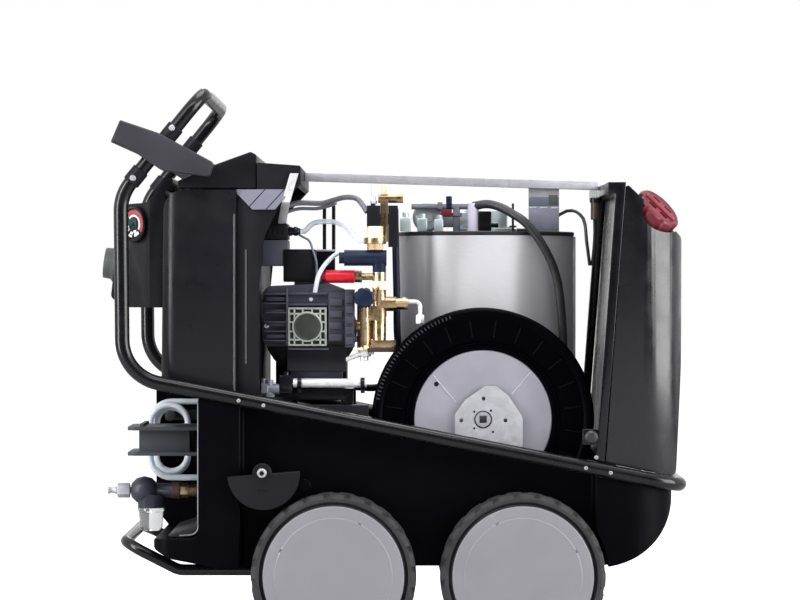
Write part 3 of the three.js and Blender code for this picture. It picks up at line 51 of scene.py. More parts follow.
TO_FRAME = Matrix.Scale(MM, 4) @ Matrix.Translation((CENTRE_SHIFT, 0, 0))
FROM_FRAME = TO_FRAME.inverted()
SIDES = (("right", -1), ("left", 1))


def linked(name, data):
    """A new object in the scene."""
    made = bpy.data.objects.new(name, data)
    bpy.context.scene.collection.objects.link(made)
    return made


# ---------------------------------------------------------------- camera
CAMERA_X = 12.0
CAMERA_DISTANCE = 6.0
CAMERA_HEIGHT = 0.724
SENSOR_WIDTH = 36.0
LENS = 135.0
FAR_CLIP = 60.0
PIXEL = 0.002  # size of a picture pixel in the plane through the machine's middle
HORIZON_ROWS = 23  # the horizon lies this many pixel rows above the middle of the picture


def add_camera():
    data = bpy.data.cameras.new("camera")
    data.sensor_fit = "HORIZONTAL"
    data.sensor_width = SENSOR_WIDTH
    data.lens = LENS
    data.clip_end = FAR_CLIP
    camera = linked("camera", data)
    pitch = math.atan(HORIZON_ROWS * PIXEL / CAMERA_DISTANCE)
    camera.location = ((CAMERA_X + CENTRE_SHIFT) * MM, -CAMERA_DISTANCE, CAMERA_HEIGHT)
    camera.rotation_euler = (math.pi / 2 - pitch, 0, 0)
    bpy.context.scene.camera = camera


# ---------------------------------------------------------------- shapes, in millimetres
CORNER_STEPS = 8
BEND_STEPS = 14
CURVE_STEPS = 8
WELD = 0.005  # points nearer to each other than this become one
FLAT_ANGLE = math.radians(0.6)  # faces that meet at less than this are joined up


def vec(*parts):
    return Vector(parts)


def mesh_of(points, faces):
    mesh = bpy.data.meshes.new("form")
    mesh.from_pydata([tuple(point) for point in points], [], faces)
    return mesh


def edited(mesh, change):
    """The mesh after a change made with bmesh."""
    work = bmesh.new()
    work.from_mesh(mesh)
    change(work)
    work.to_mesh(mesh)
    work.free()
    return mesh


def faced_outwards(work):
    bmesh.ops.remove_doubles(work, verts=work.verts, dist=WELD)
    bmesh.ops.recalc_face_normals(work, faces=work.faces)


def applied(data, set_up=None):
    """The mesh of a curve, or of a mesh with modifiers."""
    holder = linked("holder", data)
    if set_up:
        set_up(holder)
    bpy.context.view_layer.update()
    graph = bpy.context.evaluated_depsgraph_get()
    made = bpy.data.meshes.new_from_object(holder.evaluated_get(graph))
    bpy.data.objects.remove(holder)
    return made


def combined(operation, first, others):
    tools = [linked("tool", other) for other in others]

    def set_up(holder):
        for tool in tools:
            modifier = holder.modifiers.new("combine", "BOOLEAN")
            modifier.operation = operation
            modifier.solver = "MANIFOLD"
            modifier.object = tool

    made = applied(first, set_up)
    for tool in tools:
        bpy.data.objects.remove(tool)
    return made


def union(first, *others):
    return combined("UNION", first, others)


def cut(first, *others):
    return combined("DIFFERENCE", first, others)


def common(first, *others):
    return combined("INTERSECT", first, others)


def joined(*meshes):
    work = bmesh.new()
    for mesh in meshes:
        work.from_mesh(mesh)
    made = bpy.data.meshes.new("form")
    work.to_mesh(made)
    work.free()
    return made


def bevelled(mesh, width, angle=30):
    """The mesh with its flat faces joined up and its sharp edges rounded."""
    def flattened(work):
        faced_outwards(work)
        bmesh.ops.dissolve_limit(work, angle_limit=FLAT_ANGLE, verts=work.verts, edges=work.edges)

    def set_up(holder):
        modifier = holder.modifiers.new("round", "BEVEL")
        modifier.width = width
        modifier.segments = 2
        modifier.limit_method = "ANGLE"
        modifier.angle_limit = math.radians(angle)

    return applied(edited(mesh, flattened), set_up)


def outline(points, steps=CORNER_STEPS, closed=True):
    """Rounds the corners of a flat outline. Each point is (a, b) or (a, b, corner radius)."""
    rounded = []
    for i, (a, b, *rest) in enumerate(points):
        here = vec(a, b)
        if not rest or (not closed and i in (0, len(points) - 1)):
            rounded.append(here)
            continue
        back = (Vector(points[i - 1][:2]) - here).normalized()
        on = (Vector(points[(i + 1) % len(points)][:2]) - here).normalized()
        half = back.angle(on) / 2
        centre = here + (back + on).normalized() * (rest[0] / math.sin(half))
        start = here + back * (rest[0] / math.tan(half)) - centre
        end = here + on * (rest[0] / math.tan(half)) - centre
        sweep = math.atan2(start.x * end.y - start.y * end.x, start.dot(end))
        rounded += [centre + Matrix.Rotation(sweep * s / steps, 2) @ start for s in range(steps + 1)]
    return rounded


def mirrored(half):
    """A closed outline from its half on the side where b is negative."""
    return half + [(a, -b, *rest) for a, b, *rest in reversed(half)]


def circle(a, b, radius, segments=48):
    angles = [2 * math.pi * i / segments for i in range(segments)]
    return [(a + radius * math.cos(t), b + radius * math.sin(t)) for t in angles]


def square(a, b, half):
    return [(a - half, b - half), (a + half, b - half), (a + half, b + half), (a - half, b + half)]


# The axis that a flat outline is extruded along, and how it is turned from the XY plane.
PLANES = {
    "XY": (vec(0, 0, 1), Matrix.Identity(4)),
    "XZ": (vec(0, 1, 0), Matrix.Rotation(math.pi / 2, 4, "X")),
    "YZ": (vec(1, 0, 0), Matrix(((0, 0, 1, 0), (1, 0, 0, 0), (0, 1, 0, 0), (0, 0, 0, 1)))),
}


def prism(points, low, high, plane="XZ", bevel=0.0, holes=()):
    """An outline extruded square to its plane, with rounded rims."""
    curve = bpy.data.curves.new("outline", "CURVE")
    curve.dimensions = "2D"
    curve.fill_mode = "BOTH"
    for loop in (points, *holes):
        spline = curve.splines.new("POLY")
        spline.points.add(len(loop) - 1)
        for corner, place in zip(spline.points, loop):
            corner.co = (*place, 0, 1)
        spline.use_cyclic_u = True
    curve.extrude = (high - low) / 2 - bevel
    curve.bevel_depth = bevel
    curve.bevel_resolution = 2
    curve.offset = -bevel
    mesh = applied(curve)
    axis, turn = PLANES[plane]
    mesh.transform(Matrix.Translation(axis * ((low + high) / 2)) @ turn)
    return edited(mesh, faced_outwards)


def block(x0, x1, y0, y1, z0, z1, bevel=1.0, segments=2):
    """A box with rounded edges."""
    corners = tuple(zip((x0, y0, z0), (x1, y1, z1)))

    def shape(work):
        bmesh.ops.create_cube(work, size=1)
        for vert in work.verts:
            vert.co = [low if part < 0 else high for part, (low, high) in zip(vert.co, corners)]
        if bevel:
            bmesh.ops.bevel(work, geom=work.edges, offset=bevel, segments=segments, affect="EDGES",
                            profile=0.5)
    return edited(bpy.data.meshes.new("form"), shape)


def lathe(profile, base=(0, 0, 0), axis=(0, 0, 1), segments=64):
    """A turned form: profile points are (radius, distance along the axis from base)."""
    turn = vec(0, 0, 1).rotation_difference(Vector(axis))
    closed = tuple(profile[0]) == tuple(profile[-1])
    points, rings, faces = [], [], []
    for radius, along in profile[:-1] if closed else profile:
        count = 1 if radius == 0 else segments
        rings.append(range(len(points), len(points) + count))
        for k in range(count):
            angle = 2 * math.pi * k / segments
            spoke = vec(radius * math.cos(angle), radius * math.sin(angle), along)
            points.append(Vector(base) + turn @ spoke)
    pairs = list(zip(rings, rings[1:]))
    if closed:
        pairs.append((rings[-1], rings[0]))
    for low, high in pairs:
        for k in range(segments):
            on = (k + 1) % segments
            corners = [low[k % len(low)], low[on % len(low)], high[on % len(high)], high[k % len(high)]]
            faces.append(list(dict.fromkeys(corners)))
    return edited(mesh_of(points, [face for face in faces if len(face) > 2]), faced_outwards)


def turned_bar(base, end, radius, inward, along, segments):
    """A straight bar with its rims turned off, so far inwards and so far along."""
    line = Vector(end) - Vector(base)
    length = line.length
    profile = [(0, 0), (radius - inward, 0), (radius, along), (radius, length - along),
               (radius - inward, length), (0, length)]
    return lathe(profile, base, line, segments)


def rod(base, end, radius, chamfer=0.6, segments=32):
    return turned_bar(base, end, radius, chamfer, chamfer, segments)


def nut(base, end, radius):
    """A hexagon with its corners turned off at both ends."""
    return turned_bar(base, end, radius, radius * 0.12, radius * 0.1, 6)


def ring(inner, outer, depth, base, axis, segments=40):
    return lathe([(inner, 0), (outer, 0), (outer, depth), (inner, depth), (inner, 0)], base, axis, segments)


def screw(base, radius=4.0):
    """A low round head with a round recess, facing the near side."""
    profile = [(0, -0.5), (radius, -0.5), (radius, radius * 0.35), (radius * 0.8, radius * 0.6),
               (radius * 0.45, radius * 0.62), (radius * 0.4, radius * 0.2), (0, radius * 0.2)]
    return lathe(profile, base, (0, -1, 0), 24)


def tube(points, radius, sides=24):
    """A round tube along a line, with flat ends."""
    along = (points[1] - points[0]).normalized()
    side = vec(1, 0, 0) if abs(along.z) > 0.9 else vec(0, 0, 1)
    rim, faces = [], []
    for i, point in enumerate(points):
        ahead = points[min(i + 1, len(points) - 1)]
        along = (ahead - points[max(i - 1, 0)]).normalized()
        side = (side - along * side.dot(along)).normalized()
        other = along.cross(side)
        for k in range(sides):
            angle = 2 * math.pi * k / sides
            rim.append(point + (side * math.cos(angle) + other * math.sin(angle)) * radius)
        if i:
            first = (i - 1) * sides
            for k in range(sides):
                on = (k + 1) % sides
                faces.append([first + k, first + on, first + sides + on, first + sides + k])
    faces.append(list(reversed(range(sides))))
    faces.append([len(rim) - sides + k for k in range(sides)])
    return mesh_of(rim, faces)


def bent_line(corners, bend):
    """Straight runs joined by arcs of one radius."""
    line = [corners[0]]
    for before, here, after in zip(corners, corners[1:], corners[2:]):
        back = (before - here).normalized()
        on = (after - here).normalized()
        half = back.angle(on) / 2
        centre = here + (back + on).normalized() * (bend / math.sin(half))
        start = here + back * (bend / math.tan(half)) - centre
        axis = back.cross(on).normalized()
        for s in range(BEND_STEPS + 1):
            turn = Matrix.Rotation((2 * half - math.pi) * s / BEND_STEPS, 3, axis)
            line.append(centre + turn @ start)
    return [*line, corners[-1]]


def smooth_line(points):
    """A centripetal Catmull-Rom curve through the points."""
    line = []
    padded = [points[0] * 2 - points[1], *points, points[-1] * 2 - points[-2]]
    for p0, p1, p2, p3 in zip(padded, padded[1:], padded[2:], padded[3:]):
        t1 = (p1 - p0).length ** 0.5
        t2 = t1 + (p2 - p1).length ** 0.5
        t3 = t2 + (p3 - p2).length ** 0.5
        for s in range(CURVE_STEPS):
            t = t1 + (t2 - t1) * s / CURVE_STEPS
            a1 = p0 * ((t1 - t) / t1) + p1 * (t / t1)
            a2 = p1 * ((t2 - t) / (t2 - t1)) + p2 * ((t - t1) / (t2 - t1))
            a3 = p2 * ((t3 - t) / (t3 - t2)) + p3 * ((t - t2) / (t3 - t2))
            b1 = a1 * ((t2 - t) / t2) + a2 * (t / t2)
            b2 = a2 * ((t3 - t) / (t3 - t1)) + a3 * ((t - t1) / (t3 - t1))
            line.append(b1 * ((t2 - t) / (t2 - t1)) + b2 * ((t - t1) / (t2 - t1)))
    return [*line, points[-1]]


def hose(points, radius, sides=20):
    return tube(smooth_line([Vector(point) for point in points]), radius, sides)


def strap(points, half_width, thickness):
    """A flat strap that bends in planes square to X."""
    rim, faces = [], []
    for i, point in enumerate(points):
        ahead = points[min(i + 1, len(points) - 1)] - points[max(i - 1, 0)]
        square_to = vec(0, -ahead.z, ahead.y).normalized() * (thickness / 2)
        for side, way in ((-1, 1), (1, 1), (1, -1), (-1, -1)):
            rim.append(point + vec(side * half_width, 0, 0) + square_to * way)
        if i:
            first = (i - 1) * 4
            faces += [[first + k, first + (k + 1) % 4, first + 4 + (k + 1) % 4, first + 4 + k]
                      for k in range(4)]
    faces += [[3, 2, 1, 0], [len(rim) - 4 + k for k in range(4)]]
    return bevelled(edited(mesh_of(rim, faces), faced_outwards), 0.5, 20)


def seated(mesh, across, axis, seat):
    """Brings a form drawn flat, with Z out of its face, to a seat that faces along an axis."""
    turn = Matrix((across, axis.cross(across), axis)).transposed().to_4x4()
    mesh.transform(Matrix.Translation(seat) @ turn)
    return mesh


def refined(node, width):
    """A CAD node's own form with its edges rounded."""
    mesh = frame["nodes"][node].data.copy()
    mesh.transform(FROM_FRAME)
    return bevelled(mesh, width, 32)


MATERIALS = {}


def piece(name, form, finish, node=None, body="machine", smooth=32):
    """Brings a form, or a list of them, into the frame as a piece that rides on a body."""
    mesh = joined(*form) if isinstance(form, list) else form
    mesh.name = name
    mesh.transform(TO_FRAME)
    mesh.materials.clear()
    mesh.materials.append(MATERIALS[finish])
    mesh.shade_smooth()
    mesh.set_sharp_from_angle(angle=math.radians(smooth))
    made = linked(name, mesh)
    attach(made, body)
    if node:
        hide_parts(node)
    return made


# ---------------------------------------------------------------- materials
class Nodes:
    """A node tree with short ways to add to it."""

    def __init__(self, tree):
        self.tree = tree

    def plug(self, socket, value):
        if isinstance(value, bpy.types.NodeSocket):
            self.tree.links.new(value, socket)
        else:
            socket.default_value = value

    def node(self, kind, output, inputs=None, **settings):
        """Adds a node and gives one of its outputs."""
        made = self.tree.nodes.new(f"ShaderNode{kind}")
        for name, value in settings.items():
            setattr(made, name, value)
        for name, value in (inputs or {}).items():
            self.plug(made.inputs[name], value)
        return made.outputs[output]

    def math(self, operation, first, second):
        return self.node("Math", "Value", {0: first, 1: second}, operation=operation)

    def ramp(self, factor, low, high, dark=0.0, light=1.0):
        inputs = {"Value": factor, "From Min": low, "From Max": high, "To Min": dark, "To Max": light}
        return self.node("MapRange", "Result", inputs)

    def ray(self, kind):
        return self.node("LightPath", f"Is {kind} Ray")


class Finish(Nodes):
    """A material that is painted in the piece's own coordinates."""

    def __init__(self, name, roughness, metallic=0.0, **inputs):
        self.material = bpy.data.materials.new(name)
        self.material.use_nodes = True
        super().__init__(self.material.node_tree)
        self.shader = self.tree.nodes["Principled BSDF"].inputs
        self.shader["Metallic"].default_value = metallic
        self.shader["Roughness"].default_value = roughness
        for socket, value in inputs.items():
            self.shader[socket.replace("_", " ")].default_value = value
        self.place = self.node("TexCoord", "Object")

    def noise(self, scale, detail=3.0, stretch=None, roughness=0.5):
        place = self.place
        if stretch:
            place = self.node("Mapping", "Vector", {"Vector": place, "Scale": stretch})
        return self.node("TexNoise", "Fac",
                         {"Vector": place, "Scale": scale, "Detail": detail, "Roughness": roughness})

    def mix(self, factor, first, second):
        return self.node("Mix", "Result", {"Factor": factor, "A": first, "B": second}, data_type="RGBA")

    def colour(self, value):
        self.plug(self.shader["Base Color"], value)

    def rough(self, factor, low, high, least, most):
        self.plug(self.shader["Roughness"], self.ramp(factor, low, high, least, most))

    def bump(self, height, distance):
        inputs = {"Height": height, "Distance": distance, "Strength": 1.0}
        if self.shader["Normal"].is_linked:
            inputs["Normal"] = self.shader["Normal"].links[0].from_socket
        self.plug(self.shader["Normal"], self.node("Bump", "Normal", inputs))

    def edge(self, low=0.52, high=0.6):
        """1 on the outer edges of a finely modelled form: where wear shows on plastic and powder coat, and
        where cast metal gets a painted highlight.
        """
        return self.ramp(self.node("NewGeometry", "Pointiness"), low, high)


def shade(colour, factor=1.0):
    return (*[min(part * factor, 1.0) for part in colour], 1.0)


def moulded(name, colour, roughness, grain=900.0, depth=0.00006, spread=0.18, gloss=0.4):
    """Injection-moulded plastic: a fine spark-eroded grain, dusty in patches."""
    finish = Finish(name, roughness, Specular_IOR_Level=gloss)
    patches = finish.ramp(finish.noise(7.0, 4.0), 0.35, 0.7)
    worn = finish.mix(patches, shade(colour, 1 - spread), shade(colour, 1 + spread))
    finish.colour(finish.mix(finish.edge(), worn, shade(colour, 1.6)))
    finish.rough(finish.noise(22.0, 5.0), 0.3, 0.75, roughness - 0.07, roughness + 0.1)
    finish.bump(finish.noise(grain, 2.0), depth)
    return finish.material


def powder_coated(name, colour, roughness):
    """Powder coat on steel: a fine orange peel, scuffed a little on the edges."""
    finish = Finish(name, roughness, Specular_IOR_Level=0.2, Coat_Weight=0.3, Coat_Roughness=0.1)
    patches = finish.ramp(finish.noise(9.0, 4.0), 0.3, 0.7)
    coat = finish.mix(patches, shade(colour, 0.85), shade(colour, 1.15))
    finish.colour(finish.mix(finish.edge(0.54, 0.64), coat, shade(colour, 2.2)))
    finish.rough(finish.noise(40.0, 4.0), 0.3, 0.7, roughness - 0.05, roughness + 0.1)
    finish.bump(finish.noise(420.0, 2.0), 0.00008)
    return finish.material


def rubber(name, colour, roughness):
    """Rubber: matt, a little dusty, with fine pits."""
    finish = Finish(name, roughness)
    dust = finish.ramp(finish.noise(14.0, 6.0, roughness=0.65), 0.42, 0.72)
    finish.colour(finish.mix(dust, shade(colour, 0.8), shade(colour, 2.0)))
    finish.rough(finish.noise(60.0, 4.0), 0.3, 0.7, roughness - 0.1, roughness + 0.1)
    finish.bump(finish.noise(1100.0, 3.0), 0.0001)
    return finish.material


def galvanised(name, colour, roughness, metallic=0.5, dents=0.00005):
    """Zinc-plated sheet: faint spangles, in greys of one hue."""
    finish = Finish(name, roughness, metallic)
    cells = finish.node("TexVoronoi", "Color", {"Vector": finish.place, "Scale": 90.0})
    cloud = finish.ramp(finish.noise(12.0, 3.0), 0.3, 0.7)
    spangle = finish.math("MULTIPLY", finish.ramp(cells, 0.1, 0.9), cloud)
    finish.colour(finish.mix(spangle, shade(colour, 0.86), shade(colour, 1.14)))
    finish.rough(finish.noise(150.0, 3.0), 0.3, 0.7, roughness - 0.08, roughness + 0.12)
    finish.bump(finish.noise(300.0, 3.0), dents)
    return finish.material


def brushed_stainless(name, colour, roughness, bright):
    """Rolled stainless sheet with a fine grain round the can and a slight waviness."""
    finish = Finish(name, roughness, 0.55, Anisotropic=0.4)
    strands = finish.noise(60.0, 4.0, stretch=(1, 1, 30))
    finish.colour(finish.mix(finish.ramp(strands, 0.3, 0.7), shade(colour), shade(bright)))
    finish.rough(strands, 0.25, 0.75, 0.4, 0.5)
    finish.bump(strands, 0.00003)
    finish.bump(finish.noise(5.0, 2.0), 0.0012)
    return finish.material


def tarnished_brass(name, colour, roughness, tarnish):
    """Machined and slightly tarnished brass."""
    finish = Finish(name, roughness, 1.0)
    stain = finish.ramp(finish.noise(38.0, 5.0), 0.4, 0.75)
    finish.colour(finish.mix(stain, shade(colour), shade(tarnish)))
    finish.rough(finish.noise(90.0, 4.0), 0.3, 0.7, 0.2, 0.42)
    finish.bump(finish.noise(500.0, 2.0, stretch=(1, 1, 6)), 0.000008)
    return finish.material


def cast(name, colour, roughness, metallic):
    """Sand-cast or die-cast metal: a coarse skin in patchy tones, with a painted highlight on its outer
    edges.
    """
    finish = Finish(name, roughness, metallic)
    patches = finish.ramp(finish.noise(30.0, 5.0), 0.35, 0.7)
    skin = finish.mix(patches, shade(colour, 0.72), shade(colour, 1.2))
    # the outer edges are painted lighter: a painted highlight
    finish.colour(finish.mix(finish.edge(0.53, 0.62), skin, shade(colour, 1.7)))
    finish.rough(patches, 0.0, 1.0, roughness - 0.1, roughness + 0.12)
    finish.bump(finish.noise(450.0, 4.0, roughness=0.6), 0.00022)
    return finish.material


def clear_plastic(name, colour, roughness, clearness):
    """Soft or hard clear plastic, a little milky, with a tint that deepens in streaks."""
    finish = Finish(name, roughness, Transmission_Weight=clearness, IOR=1.42)
    streaks = finish.ramp(finish.noise(25.0, 3.0), 0.3, 0.7)
    finish.colour(finish.mix(streaks, shade(colour, 0.86), shade(colour, 1.08)))
    finish.bump(finish.noise(200.0, 2.0), 0.00006)
    return finish.material


# Under each of the record's slots: name, maker, colour, roughness and what else the maker takes.
FINISHES = {
    "black_plastic": [
        ("black_plastic", moulded, (0.005, 0.005, 0.007), 0.45, dict(gloss=0.15)),
        ("tower_black", moulded, (0.006, 0.006, 0.0085), 0.32, dict(depth=0.00003, spread=0.1, gloss=0.2)),
        ("tank_black", moulded, (0.003, 0.003, 0.005), 0.25, dict(depth=0.00001, spread=0.1, gloss=0.55)),
        ("tub_black", moulded, (0.0006, 0.0006, 0.0014), 0.42, dict(gloss=0.04)),
        ("reel_black", moulded, (0.0006, 0.0006, 0.0016), 0.36, dict(spread=0.3, gloss=0.02)),
        ("rib_black", moulded, (0.002, 0.002, 0.003), 0.36, dict(spread=0.6, gloss=0.06)),
        ("black_gloss", moulded, (0.005, 0.005, 0.007), 0.2, dict(depth=0.00002, spread=0.1, gloss=0.25)),
        # a light grey for the bulkhead's shoulder: a painted highlight of its rounded top edge
        ("shoulder_grey", moulded, (0.1, 0.1, 0.13), 0.4, dict(spread=0.3)),
        # a lighter grey that paints highlights: on the tower's seam beads and on the reel rim's upper-left
        # arc
        ("seam_grey", moulded, (0.022, 0.022, 0.029), 0.3, dict(gloss=0.4)),
        ("filter_grey", moulded, (0.024, 0.024, 0.036), 0.4, dict(gloss=0.3)),
        ("box_grey", moulded, (0.045, 0.045, 0.062), 0.5, dict(gloss=0.2)),
        ("brown_dark", moulded, (0.035, 0.02, 0.016), 0.4, {}),
    ],
    "tube_black": [("tube_black", powder_coated, (0.0035, 0.0035, 0.005), 0.26, {})],
    "horn_grey": [("horn_grey", moulded, (0.028, 0.027, 0.034), 0.6, dict(gloss=0.25))],
    "tyre_rubber": [("tyre_rubber", rubber, (0.0115, 0.0115, 0.014), 0.75, {})],
    "hose_rubber": [("hose_rubber", rubber, (0.012, 0.012, 0.015), 0.45, {})],
    "wheel_grey": [("wheel_grey", moulded, (0.2, 0.196, 0.216), 0.42, dict(spread=0.05))],
    "reel_grey": [("reel_grey", powder_coated, (0.24, 0.236, 0.272), 0.4, {})],
    "galvanised": [
        ("galvanised", galvanised, (0.48, 0.48, 0.52), 0.42, dict(dents=0.00002)),
        ("dull_steel", galvanised, (0.2, 0.205, 0.24), 0.5, {}),
        ("bright_steel", galvanised, (0.8, 0.8, 0.83), 0.34, dict(dents=0.0)),
        ("sheet_dark", galvanised, (0.035, 0.035, 0.042), 0.45, {}),
        ("strap_blue", galvanised, (0.15, 0.165, 0.22), 0.5, dict(metallic=0.2)),
        ("strap_lilac", galvanised, (0.3, 0.31, 0.4), 0.5, dict(metallic=0.2)),
    ],
    "stainless": [
        ("stainless", brushed_stainless, (0.76, 0.76, 0.81), 0.46, dict(bright=(0.84, 0.84, 0.89))),
        ("dial_white", moulded, (0.7, 0.68, 0.7), 0.3, dict(spread=0.04)),
        ("dial_red", moulded, (0.3, 0.055, 0.06), 0.35, dict(spread=0.08)),
        ("dial_green", moulded, (0.004, 0.02, 0.022), 0.35, dict(spread=0.1)),
    ],
    "brass": [("brass", tarnished_brass, (0.56, 0.41, 0.24), 0.3, dict(tarnish=(0.23, 0.15, 0.09)))],
    "red_plastic": [
        ("red_plastic", moulded, (0.115, 0.013, 0.021), 0.42, dict(spread=0.12, gloss=0.3)),
        ("bypass_red", moulded, (0.34, 0.004, 0.014), 0.35, dict(spread=0.12)),
    ],
    "cast_grey": [
        ("cast_grey", cast, (0.015, 0.015, 0.025), 0.55, dict(metallic=0.1)),
        ("cast_pale", cast, (0.032, 0.031, 0.046), 0.55, dict(metallic=0.3)),
        ("disc_green", cast, (0.028, 0.031, 0.026), 0.55, dict(metallic=0.2)),
    ],
    "aluminium": [
        ("aluminium", cast, (0.3, 0.32, 0.29), 0.45, dict(metallic=0.4)),
        ("burner_teal", cast, (0.42, 0.48, 0.5), 0.4, dict(metallic=0.6)),
    ],
    "pale_hose": [
        ("pale_hose", clear_plastic, (0.78, 0.83, 0.9), 0.12, dict(clearness=0.35)),
        ("braided_hose", moulded, (0.14, 0.14, 0.165), 0.3, dict(grain=500.0, depth=0.0003)),
        ("lilac_box", moulded, (0.42, 0.4, 0.5), 0.45, {}),
        ("lead_blue", moulded, (0.13, 0.14, 0.19), 0.35, {}),
    ],
    "clear_bowl": [("clear_bowl", clear_plastic, (0.86, 0.88, 0.9), 0.06, dict(clearness=0.85))],
    "knob_blue": [("knob_blue", moulded, (0.006, 0.01, 0.027), 0.4, dict(gloss=0.2))],
    "grey_plastic": [
        ("grey_plastic", moulded, (0.055, 0.062, 0.06), 0.5, {}),
        ("winder_grey", moulded, (0.04, 0.044, 0.052), 0.5, dict(gloss=0.2)),
    ],
}


def make_materials():
    for slot, finishes in FINISHES.items():
        for name, make, colour, roughness, options in finishes:
            MATERIALS[name] = make(name, colour, roughness, **options)


# ---------------------------------------------------------------- the stage
SOFT_LEVEL = 0.42  # strength of the white room for plain light
DARK_STAND = 0.05  # strength of the dark stand behind the camera, seen only in gloss
STAND_EDGE = (-0.85, -0.6)  # the stand fades out between these heights on the axis to the camera
FLOOR_GLOW = 0.85
FLOOR_HALF = 30.0

# Name, place, target, size and power of each lamp.
LAMPS = (
    ("key", (-2.6, -3.4, 3.6), (0, 0, 0.5), (2.2, 2.2), 56),
    ("fill", (3.0, -3.4, 2.8), (0, 0, 0.5), (1.6, 2.0), 16),
    ("side_right", (3.3, -1.7, 1.1), (0.2, 0, 0.6), (2.6, 2.4), 165),
    ("side_left", (-2.7, -1.7, 1.2), (0, 0, 0.6), (0.9, 2.4), 90),
    ("over", (-0.3, -2.6, 3.6), (-0.2, 0, 0.8), (2.4, 0.8), 40),
    ("top", (0.3, 0.2, 4.2), (0, 0, 0.6), (2.6, 2.0), 90),
    ("back", (0.5, 4.5, 2.8), (0, 0, 0.6), (3.0, 2.0), 60),
)


def add_lamps():
    for name, place, target, size, power in LAMPS:
        data = bpy.data.lights.new(name, "AREA")
        data.shape = "RECTANGLE"
        data.size, data.size_y = size
        data.energy = power
        lamp = linked(name, data)
        lamp.location = place
        lamp.rotation_euler = (Vector(target) - Vector(place)).to_track_quat("-Z", "Y").to_euler()


def add_world():
    """A white room with a dark stand behind the camera, which keeps the blacks deep."""
    world = bpy.data.worlds.new("studio")
    bpy.context.scene.world = world
    world.use_nodes = True
    nodes = Nodes(world.node_tree)
    background = nodes.tree.nodes["Background"].inputs
    background["Color"].default_value = (1, 1, 1, 1)
    facing = nodes.node("SeparateXYZ", "Y", {"Vector": nodes.node("TexCoord", "Generated")})
    stand = nodes.ramp(facing, *STAND_EDGE, DARK_STAND, 1.0)
    clear = nodes.math("MAXIMUM", nodes.ray("Camera"), nodes.ray("Transmission"))
    gloss = nodes.math("MULTIPLY", nodes.ray("Glossy"), stand)
    plain = nodes.math("MULTIPLY", nodes.math("SUBTRACT", 1.0, nodes.ray("Glossy")), SOFT_LEVEL)
    seen = nodes.math("MAXIMUM", clear, gloss)
    nodes.plug(background["Strength"], nodes.math("MAXIMUM", seen, plain))


def add_floor():
    mesh = mesh_of([(a, b, 0) for a, b in square(0, 0, FLOOR_HALF)], [[0, 1, 2, 3]])
    material = bpy.data.materials.new("floor")
    material.use_nodes = True
    nodes = Nodes(material.node_tree)
    shader = nodes.tree.nodes["Principled BSDF"]
    shader.inputs["Base Color"].default_value = (0.5, 0.5, 0.5, 1)
    shader.inputs["Roughness"].default_value = 0.9
    seen = nodes.math("MAXIMUM", nodes.ray("Camera"), nodes.ray("Transmission"))
    strength = nodes.math("MULTIPLY", seen, FLOOR_GLOW)
    glow = nodes.node("Emission", "Emission", {"Color": (1, 1, 1, 1), "Strength": strength})
    both = nodes.node("AddShader", "Shader", {0: shader.outputs["BSDF"], 1: glow})
    nodes.plug(nodes.tree.nodes["Material Output"].inputs["Surface"], both)
    mesh.materials.append(material)
    linked("floor", mesh)


def set_stage():
    bpy.context.scene.view_settings.view_transform = "Standard"
    add_world()
    add_floor()
    add_lamps()


# ---------------------------------------------------------------- pale hose in a hank, a free cord
HANK_TURNS = 2.5
HANK_RADIUS = 6.0
HANK_PITCH = 13.0
HANK_OUTER = 44.0
HANK_RUN = 32.0
HANK_AT = vec(-448, 20, 398)
HANK_STEPS = 9  # in each quarter turn
PANEL_FRONT = -376.3
BOSS_DEPTH = 8.0
SEAT_GAP = 0.3


def hank_line():
    line = []
    for quarter in range(int(4 * HANK_TURNS)):
        upper = quarter % 4 in (1, 2)
        first = 0 if quarter % 2 == 1 or quarter == 0 else 1
        for s in range(first, HANK_STEPS + 1):
            turn = (quarter + s / HANK_STEPS) / 4
            radius = HANK_OUTER - HANK_PITCH * min(turn, HANK_TURNS - turn)
            angle = -math.pi / 2 - 2 * math.pi * turn
            side = -0.5 if quarter < 2 * HANK_TURNS else 0.5
            shift = HANK_RUN if upper else -HANK_RUN
            offset = vec(radius * math.cos(angle), side * HANK_PITCH, shift + radius * math.sin(angle))
            line.append(HANK_AT + offset)
    meets = PANEL_FRONT - BOSS_DEPTH - SEAT_GAP
    ends = [vec(meets, point.y, point.z) for point in (line[0], line[-1])]
    return [ends[0], *line, ends[1]]


def add_hank():
    line = hank_line()
    hank = piece("detergent_hose", tube(line, HANK_RADIUS, 20), "pale_hose", "hose_hank")


# ---------------------------------------------------------------- frame tubes
SLOPE_START = (-285.0, 490.0)
SLOPE_FALL = 0.196
TUBE_RADIUS = 14.0
ROUND_RADIUS = 13.5  # a round tube stays inside the CAD's many-sided one
FOOT_RADIUS = 11.0
HALF_TRACK = 290.0
KNEE = vec(-519.5, 0, 880)
HANDLE_TOP = vec(-362, 0, 1074)
HANDLE_JOINT = 0.52  # how far up from the knee the push handle meets the side tubes
HEEL_X = -516.0
BUMPER_JOINT_X = 468.0
BUMPER_X = 549.0
FOOT_Z = 158.7
TUBE_CLEAR = (TUBE_RADIUS + SEAT_GAP) * math.hypot(1, SLOPE_FALL)


def slope_z(x):
    return SLOPE_START[1] - SLOPE_FALL * (x - SLOPE_START[0])


def under_tube(x):
    return slope_z(x) - TUBE_CLEAR


def add_tube(name, corners, bend, node, radius=ROUND_RADIUS, sides=32):
    piece(name, tube(bent_line(corners, bend), radius, sides), "tube_black", node)


